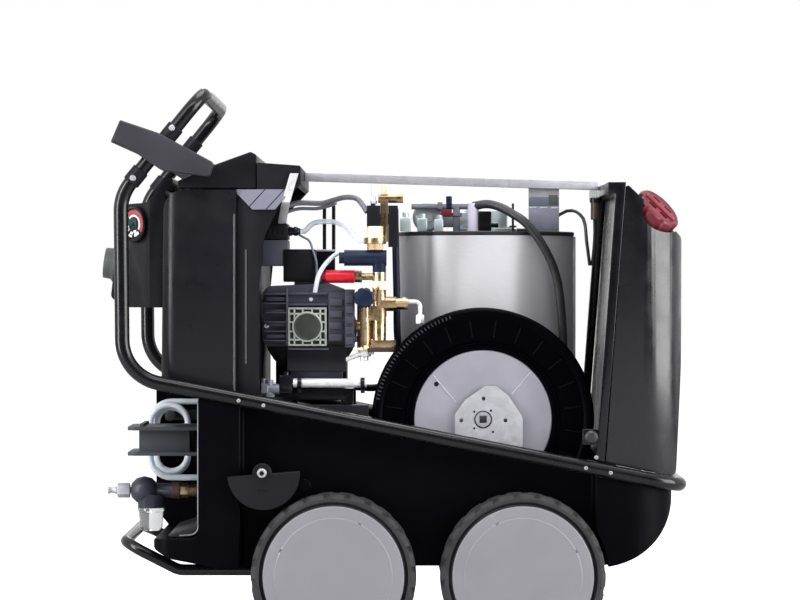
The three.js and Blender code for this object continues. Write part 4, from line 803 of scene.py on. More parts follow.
def add_frame_tubes():
    near = vec(0, -HALF_TRACK, 0)
    joint = KNEE + (HANDLE_TOP - KNEE) * HANDLE_JOINT
    for side, way in SIDES:
        corners = [joint, KNEE, vec(HEEL_X, 0, slope_z(HEEL_X)),
                   vec(BUMPER_JOINT_X, 0, slope_z(BUMPER_JOINT_X))]
        add_tube(f"side_tube_{side}", [corner - near * way for corner in corners], 85,
                 f"frame_tube_{side}", TUBE_RADIUS)

    def both_sides(*half):
        return [*half, *[vec(x, -y, z) for x, y, z in reversed(half)]]

    add_tube("handle_tube", both_sides(joint + near, HANDLE_TOP + near), 50, "push_handle")
    bumper = [vec(x, -HALF_TRACK, slope_z(x)) for x in (BUMPER_JOINT_X, BUMPER_X)]
    add_tube("bumper_tube", both_sides(*bumper), 58, "bumper_bar")
    foot = both_sides(vec(-144.3, -212, FOOT_Z), vec(-415, -212, FOOT_Z), vec(-520, -212, 212))
    add_tube("tilting_bar", foot, 45, "foot_bar", FOOT_RADIUS, 28)


def add_horns():
    profile = outline([(-537, 980, 3), (-519, 1022, 3), (-445, 997, 24), (-341, 941, 9), (-350, 914, 9),
                       (-440, 926, 14), (-486, 957, 16)])
    for side, way in SIDES:
        middle = way * (HALF_TRACK + 4)
        piece(f"horn_{side}", prism(profile, middle - 20, middle + 20, "XZ", 4), "horn_grey",
              f"hose_horn_{side}")
    along = (HANDLE_TOP - KNEE).normalized()
    sleeves, bolts = [], []
    for _, way in SIDES:
        foot = KNEE + vec(0, way * HALF_TRACK, 0)
        for first, last in ((30, 62), (128, 168)):
            sleeves.append(rod(foot + along * first, foot + along * last, TUBE_RADIUS + 2.6, 1.5))
        for x, z in ((-420.8, 1006.8), (-494.8, 911.9)):
            base = (x, way * (HALF_TRACK + TUBE_RADIUS - 1), z)
            bolts.append(lathe([(0, 0), (6, 0), (6, 3), (4.5, 5), (0, 5.6)], base, (0, way, 0), 24))
    piece("horn_sleeves", sleeves, "black_plastic")
    piece("handle_bolts", bolts, "galvanised")


# ---------------------------------------------------------------- chassis tub
TUB_FLOOR = 170.0
TUB_WALL = 6.0
TUB_END = 537.0
NOSE_CURVE = (152.0, 142.0)  # how far the nose's curve reaches in length and in height
NOSE_STEPS = 16
RECESS_X = -372.0
WAIST_HALF = 249.0
NOSE_HALF = 290.0
AXLE_Z = 157 * math.cos(math.pi / 24 * 0.66)
AXLE_RADIUS = 12.5
AXLES = (("rear", -114.0), ("front", 245.0))
BRAKE = (-250.0, 352.0)


def nose_curve(inset):
    long, high = NOSE_CURVE
    line = []
    for i in range(NOSE_STEPS + 1):
        angle = -math.pi / 2 * (1 - i / NOSE_STEPS)
        x = TUB_END - long + (long - inset) * math.cos(angle)
        line.append((x, TUB_FLOOR + high + (high - inset) * math.sin(angle)))
    return line


def recess_bay():
    """A closed compartment on the far side of the recess at the handle end, open under the tower."""
    left, meets, floor = -480, RECESS_X + 3, 215.5
    outer = outline([(left, under_tube(left)), (left, 300, 60), (-468, 240, 12), (-448, floor, 8),
                     (meets, floor), (meets, under_tube(meets))])
    inner = outline([(-474, under_tube(-474) - 6), (-474, 302, 54), (-463, 244, 8), (-446, floor + 6),
                     (RECESS_X, floor + 6), (RECESS_X, 600), (-444, 600), (-444, under_tube(-444) - 6)])
    return cut(prism(outer, 56, 284), prism(inner, 62, 278))


def tub_outside():
    side = outline([(-460, 223.5, 5), (-460, 205, 12), (-428, 187, 40), (-340, TUB_FLOOR, 90), *nose_curve(0),
                    (TUB_END, under_tube(TUB_END)), (RECESS_X, under_tube(RECESS_X)), (RECESS_X, 223.5, 18)])
    plan = outline(mirrored([(-460, -NOSE_HALF, 40), (-291, -NOSE_HALF, 6), (-291, -WAIST_HALF, 6),
                             (383, -WAIST_HALF, 6), (383, -NOSE_HALF, 6), (TUB_END, -NOSE_HALF, 90)]))
    return common(prism(side, -NOSE_HALF, NOSE_HALF), prism(plan, 100, 600, "XY"))


def tub_inside():
    waist, nose, end = WAIST_HALF - TUB_WALL, NOSE_HALF - TUB_WALL, TUB_END - TUB_WALL
    side = outline([(-366, TUB_FLOOR + TUB_WALL, 20), *nose_curve(TUB_WALL), (end, 600), (-366, 600)])
    plan = outline(mirrored([(RECESS_X, -nose), (-297, -nose), (-297, -waist), (389, -waist), (389, -nose),
                             (end, -nose, 84)]))
    return common(prism(side, -nose, nose), prism(plan, 100, 620, "XY"))


def wheel_arches(x, half, radius):
    return [rod((x, way * half, AXLE_Z), (x, way * 300, AXLE_Z), radius, 0, 64) for way in (-1, 1)]


def add_tub():
    x = AXLES[1][1]
    inside = cut(tub_inside(), *wheel_arches(x, WAIST_HALF - TUB_WALL, 165 + TUB_WALL))
    tub = cut(cut(tub_outside(), *wheel_arches(x, WAIST_HALF, 165)), inside)
    beams = [block(x - 30, x + 30, -WAIST_HALF, WAIST_HALF, AXLE_Z - 26, TUB_FLOOR + 3, 3) for _, x in AXLES]
    bores = [rod((x, -400, AXLE_Z), (x, 400, AXLE_Z), AXLE_RADIUS + SEAT_GAP, 0) for _, x in AXLES]
    tub = union(cut(union(tub, *beams), *bores), recess_bay())
    piece("tub", bevelled(tub, 1.6), "tub_black", "chassis_tub")
    x, z = BRAKE
    piece("brake_pin", rod((x, -WAIST_HALF + 2, z), (x, -NOSE_HALF - 25, z), 9), "galvanised")


# ---------------------------------------------------------------- wheels
TYRE_WIDTH = 80.0
TYRE_INNER = 255.0
TREAD_PITCHES = 24
TREAD_DEPTH = 5.5
TREAD_SLANT = 0.006  # share of a pitch that a groove runs back in each mm from the middle
BLOCK_SHARE = 0.33
GROOVE_WALL = 0.05  # share of a pitch in which the tread falls to its grooves
MIDDLE_RIB = 3.0
TREAD_LOW = 148.0  # the radius under which the tyre has no tread
TYRE_STEPS = 288
NOTCH_RADIUS = 112.0


def tread_share(turn, across):
    """0 on a tread block and 1 between two. Blocks on the two halves are half a pitch apart."""
    middle = TYRE_WIDTH / 2
    half_pitch = 0.5 if across > middle else 0.0
    share = (turn * TREAD_PITCHES + half_pitch + abs(across - middle) * TREAD_SLANT) % 1.0
    return min(max((abs(share - 0.5) - BLOCK_SHARE) / GROOVE_WALL, 0.0), 1.0)


def tyre_form(x, outward):
    section = [(1, 139.3), (3, 143), (3, 148), (6, 152), (9, 155.5), (14, 157), (26, 157), (37, 157),
               (38, 154), (42, 154), (43, 157), (54, 157), (66, 157), (71, 155.5), (74, 152), (77, 148),
               (77, 143), (76, 141.5), (62, 141.5), (62, 136.5), (58, 136.5), (58, 139.3)]
    count = len(section)
    points, faces = [], []
    for k in range(TYRE_STEPS):
        turn = k / TYRE_STEPS
        angle = 2 * math.pi * turn
        for across, radius in section:
            if radius > TREAD_LOW and abs(across - TYRE_WIDTH / 2) > MIDDLE_RIB:
                radius -= TREAD_DEPTH * tread_share(turn, across)
            z = max(AXLE_Z + radius * math.sin(angle), SEAT_GAP)
            points.append((x + radius * math.cos(angle), outward * (TYRE_INNER + across), z))
        on = (k + 1) % TYRE_STEPS
        for j in range(count):
            next_j = (j + 1) % count
            faces.append([k * count + j, k * count + next_j, on * count + next_j, on * count + j])
    return edited(mesh_of(points, faces), faced_outwards)


def disc_form(x, outward, first_notch):
    profile = outline([(13.1, 4), (26, 4, 1.5), (26, 46), (127, 40), (127, 2), (139, 2, 1), (139, 56, 1),
                       (134, 57, 1), (134, 77, 2.5), (112.5, 77.6, 1), (110.5, 78.6, 1), (0, 78.4)],
                      5, closed=False)
    profile += [(0, 66), (13.1, 66), profile[0]]
    disc = lathe(profile, (x, outward * TYRE_INNER, AXLE_Z), (0, outward, 0), 144)
    notches = []
    for i in range(4):
        angle = math.radians(first_notch + 90 * i)
        notch = block(-3.6, 3.6, -2.2, 2.2, -2.0, 2.0, 0)
        spot = vec(x + NOTCH_RADIUS * math.cos(angle), outward * (TYRE_INNER + TYRE_WIDTH - 1.5),
                   AXLE_Z + NOTCH_RADIUS * math.sin(angle))
        notch.transform(Matrix.Translation(spot) @ Matrix.Rotation(math.pi / 2 - angle, 4, "Y"))
        notches.append(notch)
    return cut(disc, *notches)


def add_wheels():
    half = TYRE_INNER + 64
    for (end, x), first_notch in zip(AXLES, (63.5, 26.0)):
        axle = rod((x, -half, AXLE_Z), (x, half, AXLE_Z), AXLE_RADIUS)
        piece(f"axle_{end}", axle, "galvanised", f"{end}_axle")
        for side, outward in SIDES:
            wheel = f"{end}_{side}"
            body = f"wheel_{wheel}_body"
            piece(f"treaded_tyre_{wheel}", tyre_form(x, outward), "tyre_rubber", f"tyre_{wheel}", body)
            disc = disc_form(x, outward, first_notch)
            piece(f"disc_{wheel}", disc, "wheel_grey", f"wheel_{wheel}", body, smooth=25)


PEDAL_RADIUS = 69.0
PEDAL_TILT = 0.08


def add_brake():
    x, z = BRAKE
    angles = [math.pi * (1 + i / 32) + PEDAL_TILT for i in range(33)]
    half = [(x + 3 + PEDAL_RADIUS * math.cos(t), z - 2 + PEDAL_RADIUS * math.sin(t)) for t in angles]
    pedal = union(prism(half, -312, -291, "XZ", 2.5), rod((x, -312, z), (x, -291, z), 18, 1.5))
    bore = rod((x, -400, z), (x, -200, z), 9.6, 0)
    piece("pedal", bevelled(cut(pedal, bore), 0.8), "black_plastic", "brake_pedal", "brake")
    shoe = rod((x + 80, -305, z - 24), (x + 80, -291, z - 24), 12, 1.5)
    piece("brake_shoe", shoe, "tub_black", body="brake")
    piece("brake_bolt", nut((x, -314, z), (x, -320, z), 9), "galvanised")
    end = [rod((x, -319.5, z), (x, -320.8, z), 4.5), block(x - 8, x + 8, -313.2, -311.5, z - 36, z - 32, 0.5)]
    piece("brake_bolt_end", end, "black_gloss", body="brake")


# ---------------------------------------------------------------- hose reel
REEL = (171.6, 450.4)
REEL_NEAR = -232.0
REEL_BASE = (REEL[0], REEL_NEAR, REEL[1])
RIBS = 24
# Lighter teeth on the upper-left arc of the rim only: a painted highlight of the rim.
RIM_TEETH = 30
TOOTH_START = 108.0
TOOTH_PITCH = 2.1


def drum_form():
    profile = [(134, 0), (140, 0), (141, 1.6), (143.5, 1.6), (144.5, 0), (147, 0), (148, 1.6), (150, 1.6),
               (151, 0), (194, 0), (198, -2.5), (202, -4), (208, -4), (212, -1.5), (214, 2), (214, 7),
               (212.5, 8), (122, 7.5), (120, 9), (120, 77), (122, 79), (212.5, 79), (214, 80.5), (214, 84.5),
               (212.5, 86), (15.3, 86), (15.3, 79), (114, 79), (114, 12), (134, 6), (134, 0)]
    return lathe(profile, REEL_BASE, (0, 1, 0), 180)


def round_reel(form, angle, flip):
    """Lays a form that was drawn on the XY plane against the reel's face, turned about its axis."""
    turn = Matrix.Rotation(angle, 4, "Y") @ Matrix.Rotation(flip * math.pi / 2, 4, "X")
    form.transform(Matrix.Translation(REEL_BASE) @ turn)
    return form


def hub_form():
    x, z = REEL
    plate = lathe([(0, 1), (130, 1), (133, 3), (133, 5), (112, 5), (112, 12), (15, 12), (15, 94), (0, 94)],
                  REEL_BASE, (0, 1, 0), 144)
    boss = rod((x, REEL_NEAR - 10, z), (x, REEL_NEAR + 2, z), 15, 1)
    socket = block(x - 7, x + 7, REEL_NEAR - 20, REEL_NEAR + 8, z - 7, z + 7, 0)
    return bevelled(cut(union(plate, boss), socket), 0.6)


def add_reel():
    ribs = [round_reel(block(158, 190, -1.2, 1.2, -0.9, 1.0, 0.5), 2 * math.pi * (i + 0.5) / RIBS, 1)
            for i in range(RIBS)]
    # light grey teeth on one arc: painted highlight of the rim
    teeth = [round_reel(block(202.5, 209, -1.1, 1.1, -4.6, -3.4, 0.3),
                        -math.radians(TOOTH_START + TOOTH_PITCH * i), -1) for i in range(RIM_TEETH)]
    piece("drum", drum_form(), "reel_black", "reel_drum", "reel")
    piece("drum_ribs", ribs, "rib_black", body="reel")
    piece("drum_rim_teeth", teeth, "seam_grey", body="reel")
    piece("hub", hub_form(), "reel_grey", "reel_hub", "reel")
    face = REEL_NEAR + 1
    folds = [rod((265, face, 543), (227, face, 498), 1.1), rod((75, face, 536), (120, face, 482), 1.1),
             ring(5, 8.5, 0.8, (194, face, 424), (0, -1, 0), 32)]
    piece("hub_folds", folds, "galvanised", body="reel")
    holes = [rod((x, face + 0.2, z), (x, face - 0.4, z), 4.6, 0.1)
             for x, z in ((194, 424), (158, 462), (82, 518))]
    piece("hub_holes", holes, "black_gloss", body="reel")


def add_bearing_plate():
    x, z = REEL
    left, right = x - 54, x + 76
    bottom = slope_z(x) - 60
    near = REEL_NEAR - 5
    profile = outline([(left, bottom), (right, bottom), (right, z + 4, 10), (x + 48, z + 46, 30),
                       (x + 26, z + 64, 12), (x + 4, z + 64, 12), (x - 35, z + 37, 20), (left, z + 9, 10)])
    screw_holes = ((x + 1, z + 40), (x - 42, z - 2), (x + 43, z - 2))
    holes = [circle(x, z, 15.6), *[circle(*spot, 4, 20) for spot in screw_holes]]
    foot = [(left + 0.5, bottom + 0.5), (right - 0.5, bottom + 0.5), (right - 0.5, under_tube(right) + 1),
            (left + 0.5, under_tube(left) + 1)]
    plate = [prism(profile, near - 4, near, "XZ", 0.5, holes),
             prism(foot, -WAIST_HALF + TUB_WALL + SEAT_GAP, near)]
    piece("bearing_plate", plate, "galvanised", "reel_bearing_plate")
    spots = [(x - 17, z + 15), (x + 15, z + 17), (x - 17, z - 17), (x + 19, z - 24)]
    marks = [rod((a, near - 3.8, b), (a, near - 4.4, b), 2.2, 0.1) for a, b in spots]
    marks.append(ring(15.2, 17, 0.8, (x, near - 4, z), (0, -1, 0)))
    piece("bearing_marks", marks, "black_gloss")


# ---------------------------------------------------------------- boiler
BOILER = (185.0, 62.0)
BOILER_RADIUS = 176.5
BOILER_Z = (236.0, 806.0)
LID_TOP = 814.6


def add_boiler():
    (x, y), (low, high), radius = BOILER, BOILER_Z, BOILER_RADIUS
    can = lathe([(0, low), (radius - 4.5, low), (radius, low + 4), (radius, high), (radius - 3, high),
                 (radius - 3, low + 6), (0, low + 6)], (x, y, 0), segments=128)
    parts = [can, block(x + radius - 4, x + radius + 5, y - 6, y + 6, low, high, 1.5)]
    for angle in (30, 150, 270):
        a = x + 120 * math.cos(math.radians(angle))
        b = y + 120 * math.sin(math.radians(angle))
        parts.append(rod((a, b, TUB_FLOOR + TUB_WALL + SEAT_GAP), (a, b, low + 1), 14))
    piece("boiler_can", parts, "stainless", "boiler_shell")
    lid = lathe([(40, high + 0.3), (177, high + 0.3), (178.5, high + 2), (178.5, high + 7), (177, high + 8.3),
                 (40, high + 8.3), (40, high + 0.3)], (x, y, 0), segments=128)
    piece("boiler_cover", lid, "sheet_dark", "boiler_lid")


def add_pressure_hose():
    points = [(156, -60, 864.3), (184, -68, 868), (209, -82, 862), (234, -95, 848), (257, -105, 832),
              (289, -112, 791), (318, -110, 728), (330, -106, 640), (332, -106, 580), (326, -108, 520),
              (300, -118, 474), (258, -130.5, 453), (233.6, -130.5, 450.4), (212.2, -130.5, 450.4)]
    piece("high_pressure_hose", hose(points, 8.5, 24), "hose_rubber", "pressure_hose")
    piece("pressure_riser", rod((156, -60, LID_TOP), (156, -60, 870), 10), "lilac_box")


# ---------------------------------------------------------------- fuel tank
TANK_HALF = 285.0
CHAMFER = ((443.0, 903.0), (554.0, 799.0))
CAP_TILT = math.radians(25)  # the filler leans to the near side
CHAMFER_NORMAL = vec(CHAMFER[0][1] - CHAMFER[1][1], 0, CHAMFER[1][0] - CHAMFER[0][0]).normalized()
CAP_AXIS = CHAMFER_NORMAL * math.cos(CAP_TILT) + vec(0, -math.sin(CAP_TILT), 0)
CAP_SEAT = vec(492.3, -232, 837.4)
CAP_RADIUS = 48.0
CAP_ACROSS = CAP_AXIS.cross(vec(0, 1, 0)).normalized()
CAP_NOTCHES = 8


def arch_x(z):
    return 384 + 0.0735 * (z - 350)


def along_cap(low, high, radius, chamfer, segments):
    return rod(CAP_SEAT + CAP_AXIS * low, CAP_SEAT + CAP_AXIS * high, radius, chamfer, segments)


def add_fuel_tank():
    left = arch_x(380) + 18.3
    profile = outline([(left, slope_z(left) + TUBE_CLEAR), (541, slope_z(541) + TUBE_CLEAR, 10),
                       (553, 560, 500), (*CHAMFER[1], 12), (*CHAMFER[0], 4)], 16)
    plan = outline(mirrored([(380, -TANK_HALF, 4), (556, -TANK_HALF, 80)]), 16)
    body = common(prism(profile, -TANK_HALF, TANK_HALF), prism(plan, 300, 950, "XY"))
    recess = along_cap(0, 150, CAP_RADIUS + 6, 0, 96)
    neck = along_cap(-14, 20, 30, 0.5, 64)
    throat = along_cap(-40, 30, 25, 0, 64)
    tank = cut(union(cut(body, recess), neck), throat)
    piece("tank", bevelled(tank, 2.0), "tank_black", "fuel_tank")


def add_fuel_cap():
    rim = CAP_RADIUS
    profile = outline([(0, 22), (31, 22), (31, 0.3), (rim, 0.3, 1), (rim, 27, 3), (rim - 4, 31, 2),
                       (rim - 12, 30, 4), (0, 30)], 5, closed=False)
    notches = []
    for i in range(CAP_NOTCHES):
        turn = Matrix.Rotation(2 * math.pi * (i + 0.5) / CAP_NOTCHES, 3, CAP_AXIS)
        spot = CAP_SEAT + turn @ CAP_ACROSS * (rim + 2) - CAP_AXIS * 2
        notches.append(rod(spot, spot + CAP_AXIS * 40, 7, 0, 24))
    cap = cut(lathe(profile, CAP_SEAT, CAP_AXIS, 96), *notches)
    parts = [block(-36, 36, -8, 8, 28, 34, 2.5, 3)]
    parts += [block(x - 9, x + 9, y - 6, y + 6, 25, 40, 2) for x in (-14, 14) for y in (-17, 17)]
    grip, *pockets = [seated(part, CAP_ACROSS, CAP_AXIS, CAP_SEAT) for part in parts]
    piece("cap_red", bevelled(cut(union(cap, grip), *pockets), 0.8), "red_plastic", "fuel_cap", "cap")


# ---------------------------------------------------------------- tower
TOWER_LEFT = -446.0
TOWER_RIGHT = -301.0
TOWER_TOP = 891.0
TOWER_HALF = 270.0
TOWER_WALL = 5.0
TOWER_CORNER = 30.0


def tower_form(inset):
    """The tower's outer form, or its hollow where there is an inset."""
    left, right, top = TOWER_LEFT + inset, TOWER_RIGHT + inset / TOWER_WALL, TOWER_TOP - inset
    half = TOWER_HALF - inset
    profile = outline([(left, under_tube(TOWER_LEFT) + SEAT_GAP + inset, 12 - inset * 0.8),
                       (right, under_tube(TOWER_RIGHT) + SEAT_GAP + inset), (right, top),
                       (left + 6, top, 40 - inset * 0.8)], 12)
    plan = outline(mirrored([(left, -half, TOWER_CORNER - inset), (TOWER_RIGHT + 2, -half)]), 12)
    return common(prism(profile, -half, half), prism(plan, 400, 1000, "XY"))


def add_tower():
    hatch = block(-392, -312, -190, 190, TOWER_TOP - 20, TOWER_TOP + 20, 0)
    tower = cut(tower_form(0), tower_form(TOWER_WALL), hatch)
    piece("tower", bevelled(tower, 1.5), "tower_black", "tower_shell")


# ---------------------------------------------------------------- gauge
GAUGE_SEAT = vec(-501, -177, 826)
GAUGE_AXIS = vec(-0.681, -0.732, 0).normalized()
GAUGE_ACROSS = vec(0, 0, 1).cross(GAUGE_AXIS)
NEEDLE_ANGLE = 118.0


def arc_band(inner, outer, first, last, steps=40):
    """A flat arc between two radii. Angles are in degrees, counted from the right."""
    angles = [math.radians(first + (last - first) * i / steps) for i in range(steps + 1)]
    rim = [(outer * math.cos(t), outer * math.sin(t)) for t in angles]
    return rim + [(inner * math.cos(t), inner * math.sin(t)) for t in reversed(angles)]


def dial_mark(points, high=5.8):
    return prism(points, 5.1, high, "XY", 0.1)


def add_gauge():
    bezel = lathe([(0, 0.3), (32, 0.3), (34, 2), (34, 7), (32.5, 9), (30.5, 9), (29, 7), (29, 4.6), (0, 4.6)],
                  GAUGE_SEAT, GAUGE_AXIS, 96)
    piece("gauge_case", bezel, "black_gloss", "pressure_gauge")
    marks = [dial_mark(arc_band(*band, 10)) for band in (
        (14, 26, 188, 222), (15, 20, 240, 262), (22, 26, 236, 258), (12, 17, 270, 300), (18, 24, 275, 312))]
    pointer = prism([(-1.2, -2), (1.2, -2), (0.5, 21), (-0.5, 21)], 6, 6.6, "XY")
    needle = joined(pointer, prism(circle(0, 0, 3), 5.6, 7.2, "XY", 0.3))
    needle.transform(Matrix.Rotation(math.radians(NEEDLE_ANGLE), 4, "Z"))
    for name, form, finish in (
        ("dial", prism(circle(0, 0, 28.6, 72), 4.5, 5.2, "XY"), "black_gloss"),
        ("red_arc", dial_mark(arc_band(20, 28.4, -35, 135)), "dial_red"),
        ("white_arc", dial_mark(arc_band(15, 19, -35, 135)), "dial_white"),
        ("centre", dial_mark(circle(-4, 4, 12), 5.7), "dial_green"),
        ("marks", joined(*marks), "dial_white"),
        ("needle", needle, "black_gloss"),
    ):
        piece(f"gauge_{name}", seated(form, GAUGE_ACROSS, GAUGE_AXIS, GAUGE_SEAT), finish)


# ---------------------------------------------------------------- pump cover and crankcase
COVER = (-166.7, 628.0)
COVER_HALF = 37.0
COVER_NEAR = -215.0
COVER_INNER = COVER_HALF - 12


def cover_grid():
    """The bars of the cover, upright and level alike: two long ones and four short ones each way."""
    x, z = COVER
    near, half, inner = COVER_NEAR + 0.5, COVER_HALF, COVER_INNER
    bars = []
    for across in (-inner, inner):
        low, high = sorted((across, across * half / inner * 0.96))
        bars.append((across, -half + 2, half - 2, 1.6))
        bars += [(along, low, high, 1.4) for along in (-9, 9)]
    parts = []
    for at, low, high, width in bars:
        parts.append(block(x + at - width, x + at + width, near, near + 7.5, z + low, z + high, 0.4))
        parts.append(block(x + low, x + high, near, near + 7.5, z + at - width, z + at + width, 0.4))
    return parts


def add_pump_cover():
    (x, z), near, half = COVER, COVER_NEAR, COVER_HALF
    back = block(x - half + 1, x + half - 1, near + 7, near + 13.7, z - half + 1, z + half - 1, 1)
    piece("pump_cover_back", back, "cast_grey")
    rim = prism(square(x, z, half), near, near + 12, "XZ", 0.6, [square(x, z, half - 3.6)])
    round_rim = lathe([(25.5, 0), (26.5, -1.5), (28.5, -1.5), (29.5, 0), (29.5, 8), (25.5, 8), (25.5, 0)],
                      (x, near, z), (0, 1, 0), 72)
    piece("pump_cover_frame", [rim, *cover_grid(), round_rim], "aluminium", "pump_cover_plate")
    disc = lathe([(0, -1), (22, -1), (23, -2), (25.5, -2), (25.5, 8), (0, 8)], (x, near, z), (0, 1, 0), 72)
    piece("pump_cover_disc", disc, "disc_green")


def add_crankcase_detail():
    pads = [block(-124, -99, -217, -212, z, z + 13, 1.5) for z in (601, 623.5, 646, 668.5)]
    piece("crankcase_pads", pads, "cast_pale")
    fins = [block(-250, -206, -213, -200, z, z + 2.4, 0.6) for z in range(600, 706, 18)]
    fins.append(block(-208, -204, -214, -199, 592, 702, 1))
    fins += [block(left, right, near, -200, z, z + 4, 0.8) for left, right, near, z in (
        (-204, -128, -212, 669), (-230, -126, -210, 690), (-204, -126, -213, 583))]
    piece("crankcase_fins", fins, "cast_pale")
    piece("sump_plate", block(-206, -92, -210.5, -206, 541, 590, 2), "black_gloss")
    screws = [screw((-246, -201, 630), 5)]
    screws += [screw(place, 4) for place in ((-160, -200.5, 681), (-196, -207.5, 565), (-112, -207.5, 565))]
    piece("crankcase_screws", screws, "bright_steel")
    blocks = [block(-92, -78, -229, -225.5, z, z + 14, 1) for z in (594, 614, 634, 654, 674)]
    piece("head_pads", blocks, "cast_pale")


# ---------------------------------------------------------------- boxes and shoulder beside the pump
def add_contactors():
    upper = [block(-257.7, -206, -170, -60, 796.5, 828, 3), block(-250, -213, -172, -169, 802, 822, 1)]
    upper += [block(-244 + 9 * i, -239 + 9 * i, -173, -171.5, 806, 818, 0.4) for i in range(4)]
    piece("contactor_upper", upper, "black_plastic", "contactor_box")
    gland = lathe([(0, 0), (7, 0), (7, 2), (9, 2), (9, 8), (7.5, 9), (7.5, 12), (9, 12.6), (9, 18), (7.2, 21),
                   (6, 25), (0, 25)], (-207, -150, 813), (1, 0, 0), 12)
    piece("contactor_gland", gland, "black_gloss")
    middle = [block(-257.7, -206, -176, -60, 745.5, 796, 2.5), block(-254, -210, -177.4, -175, 749, 792, 1)]
    piece("contactor_middle", middle, "box_grey")
    lower = [block(-214.5, -152, -180, -80, 714.3, 778, 3), block(-209, -158, -181.5, -179, 720, 772, 1.2)]
    piece("contactor_lower", lower, "black_plastic")
    strut = strap([vec(-190, -264.5, 922), vec(-206, -264.5, 868), vec(-214, -200, 840),
                   vec(-216, -183, 829.5), vec(-216, -150, 829.5)], 8, 3)
    piece("contactor_strut", strut, "bright_steel")


def add_shoulder():
    # beads along the tower's seams; their lighter grey is a painted highlight of the seams
    beads = [rod((-305, -269, 505), (-305, -269, 845), 2.2), rod((-283, -262, 557), (-283, -262, 777), 1.8)]
    piece("tower_beads", beads, "seam_grey")
    # a sloped shoulder in light grey: the grey is a painted highlight of the bulkhead's rounded top edge
    section = [(-269.5, 852), (-269.5, 861), (-262.8, 891.5), (-260, 891.5), (-260, 852)]
    side = [(-300.2, 892), (-300.2, 884), (-270, 853), (-227, 853), (-194, 892)]
    seams = [prism([(x, 892), (x + 2.4, 892), (x - 37, 848), (x - 39.4, 848)], -300, -200)
             for x in (-247, -210)]
    shoulder = cut(common(prism(section, -300.4, -190, "YZ", 0.6), prism(side, -280, -240)), *seams)
    piece("bulkhead_shoulder", shoulder, "shoulder_grey")


# ---------------------------------------------------------------- hoses and fittings round the pump
def add_bay_hoses():
    slate = hose([(2, -120, 858), (4, -120, 760), (6, -118, 640), (2, -112, 530), (-30, -107, 508),
                  (-76, -105, 508)], 7)
    piece("bay_slate_hose", slate, "knob_blue")
    thick = hose([(-214, -150, 861), (-187, -150, 868), (-138, -155, 868), (-118, -160, 873.5),
                  (-93, -170, 879), (-72, -180, 876), (-60, -188, 863), (-52, -196, 850)], 5.2)
    thin = hose([(-214, -146, 849), (-186, -146, 857), (-150, -150, 857.5), (-128, -158, 862),
                 (-112, -166, 868)], 3.4, 16)
    piece("bay_grey_hoses", [thick, thin], "braided_hose")
    tubes = [rod((x, -120, 777), (x, -120, 864), 3.6) for x in (-136, -118)]
    piece("bay_twin_tubes", [block(-151, -115, -132, -108, 734, 776.5, 2), *tubes], "black_gloss")
    piece("bay_twin_rim", block(-152, -114, -133, -107, 774, 778, 1), "lilac_box")
    clear = hose([(-152, -204, 694), (-149, -205, 712), (-145, -203, 728), (-133, -197, 748),
                  (-116, -191, 765), (-106, -186, 771)], 4.5, 16)
    piece("bay_clear_hose", clear, "pale_hose")
    cable = hose([(-184, -158, 806), (-177, -165, 802), (-165, -169, 795), (-157, -183, 776),
                  (-150, -185, 753), (-148, -186, 728), (-140, -186, 716)], 2.2, 10)
    piece("bay_cable", cable, "lead_blue")
    riser = [rod((-39, -198, 860), (-39, -198, 899), 4), nut((-39, -198, 866), (-39, -198, 872), 7)]
    piece("coil_riser", riser, "bright_steel")


BAR_Y = -214.0
BAR_Z = 519.5
FITTING_Y = -216.0
VALVE_Y = -198.0


def add_cradle_detail():
    profile = [(0, 0), (8.4, 0), (9, 1), (9, 141), (8.4, 142), (0, 142)]
    bar = lathe(profile, (-194, BAR_Y, BAR_Z), (1, 0, 0), 40)
    piece("cradle_bar", bar, "bright_steel")
    clips = []
    for x in (-186, -64):
        clips.append(block(x, x + 8, BAR_Y - 2, BAR_Y + 10, 500, 511, 1))
        clips.append(ring(9.1, 11, 8, (x, BAR_Y, BAR_Z), (1, 0, 0), 32))
    piece("cradle_bar_clips", clips, "tube_black")
    post = [block(-221, -195, -222, -206, 500, 535, 3), rod((-208, BAR_Y, 534), (-208, BAR_Y, 541), 6)]
    piece("cradle_post", post, "black_gloss")
    y, z = FITTING_Y, 508
    fitting = [nut((-256, y, z), (-242, y, z), 14), rod((-243, y, z), (-221, y, z), 10),
               nut((-240, y, z - 16), (-240, y, z - 8), 10), rod((-240, y, z - 9), (-240, y, z + 18), 8),
               rod((-251, y, z + 8), (-251, y, z + 20), 5)]
    piece("cradle_fitting", fitting, "dull_steel")
    y = VALVE_Y
    drain = [nut((-57, y, 570), (-57, y, 583), 13), rod((-57, y, 562), (-57, y, 571), 8),
             rod((-98, -206, 563), (-66, -200, 574), 4.5), rod((-42, y, 574), (-42, y, 590), 4)]
    piece("valve_drain", drain, "bright_steel")
    piece("valve_drain_bar", block(-48, 2, -214, -184, 579, 587.5, 2), "brown_dark")


def add_outlet_elbow():
    y, z = VALVE_Y, 676
    line = bent_line([vec(20, y, z), vec(51, y, z), vec(51, y, 650)], 10)
    elbow = [tube(line, 4.2, 20), nut((16, y, z), (24, y, z), 8), nut((51, y, 651), (51, y, 634), 9)]
    piece("outlet_elbow", elbow, "bright_steel")
    core = [rod((-46, -196, 655), (-14, -196, 655), 8), block(-44, -15, -204, -186, 604, 652, 2)]
    piece("valve_core", core, "brown_dark")
    piece("valve_core_screw", screw((-25, -204, 633), 5), "bright_steel")


# ---------------------------------------------------------------- burner on the boiler's lid
PIPE_Y = BOILER[1] - 60
PIPE_Z = LID_TOP + 50


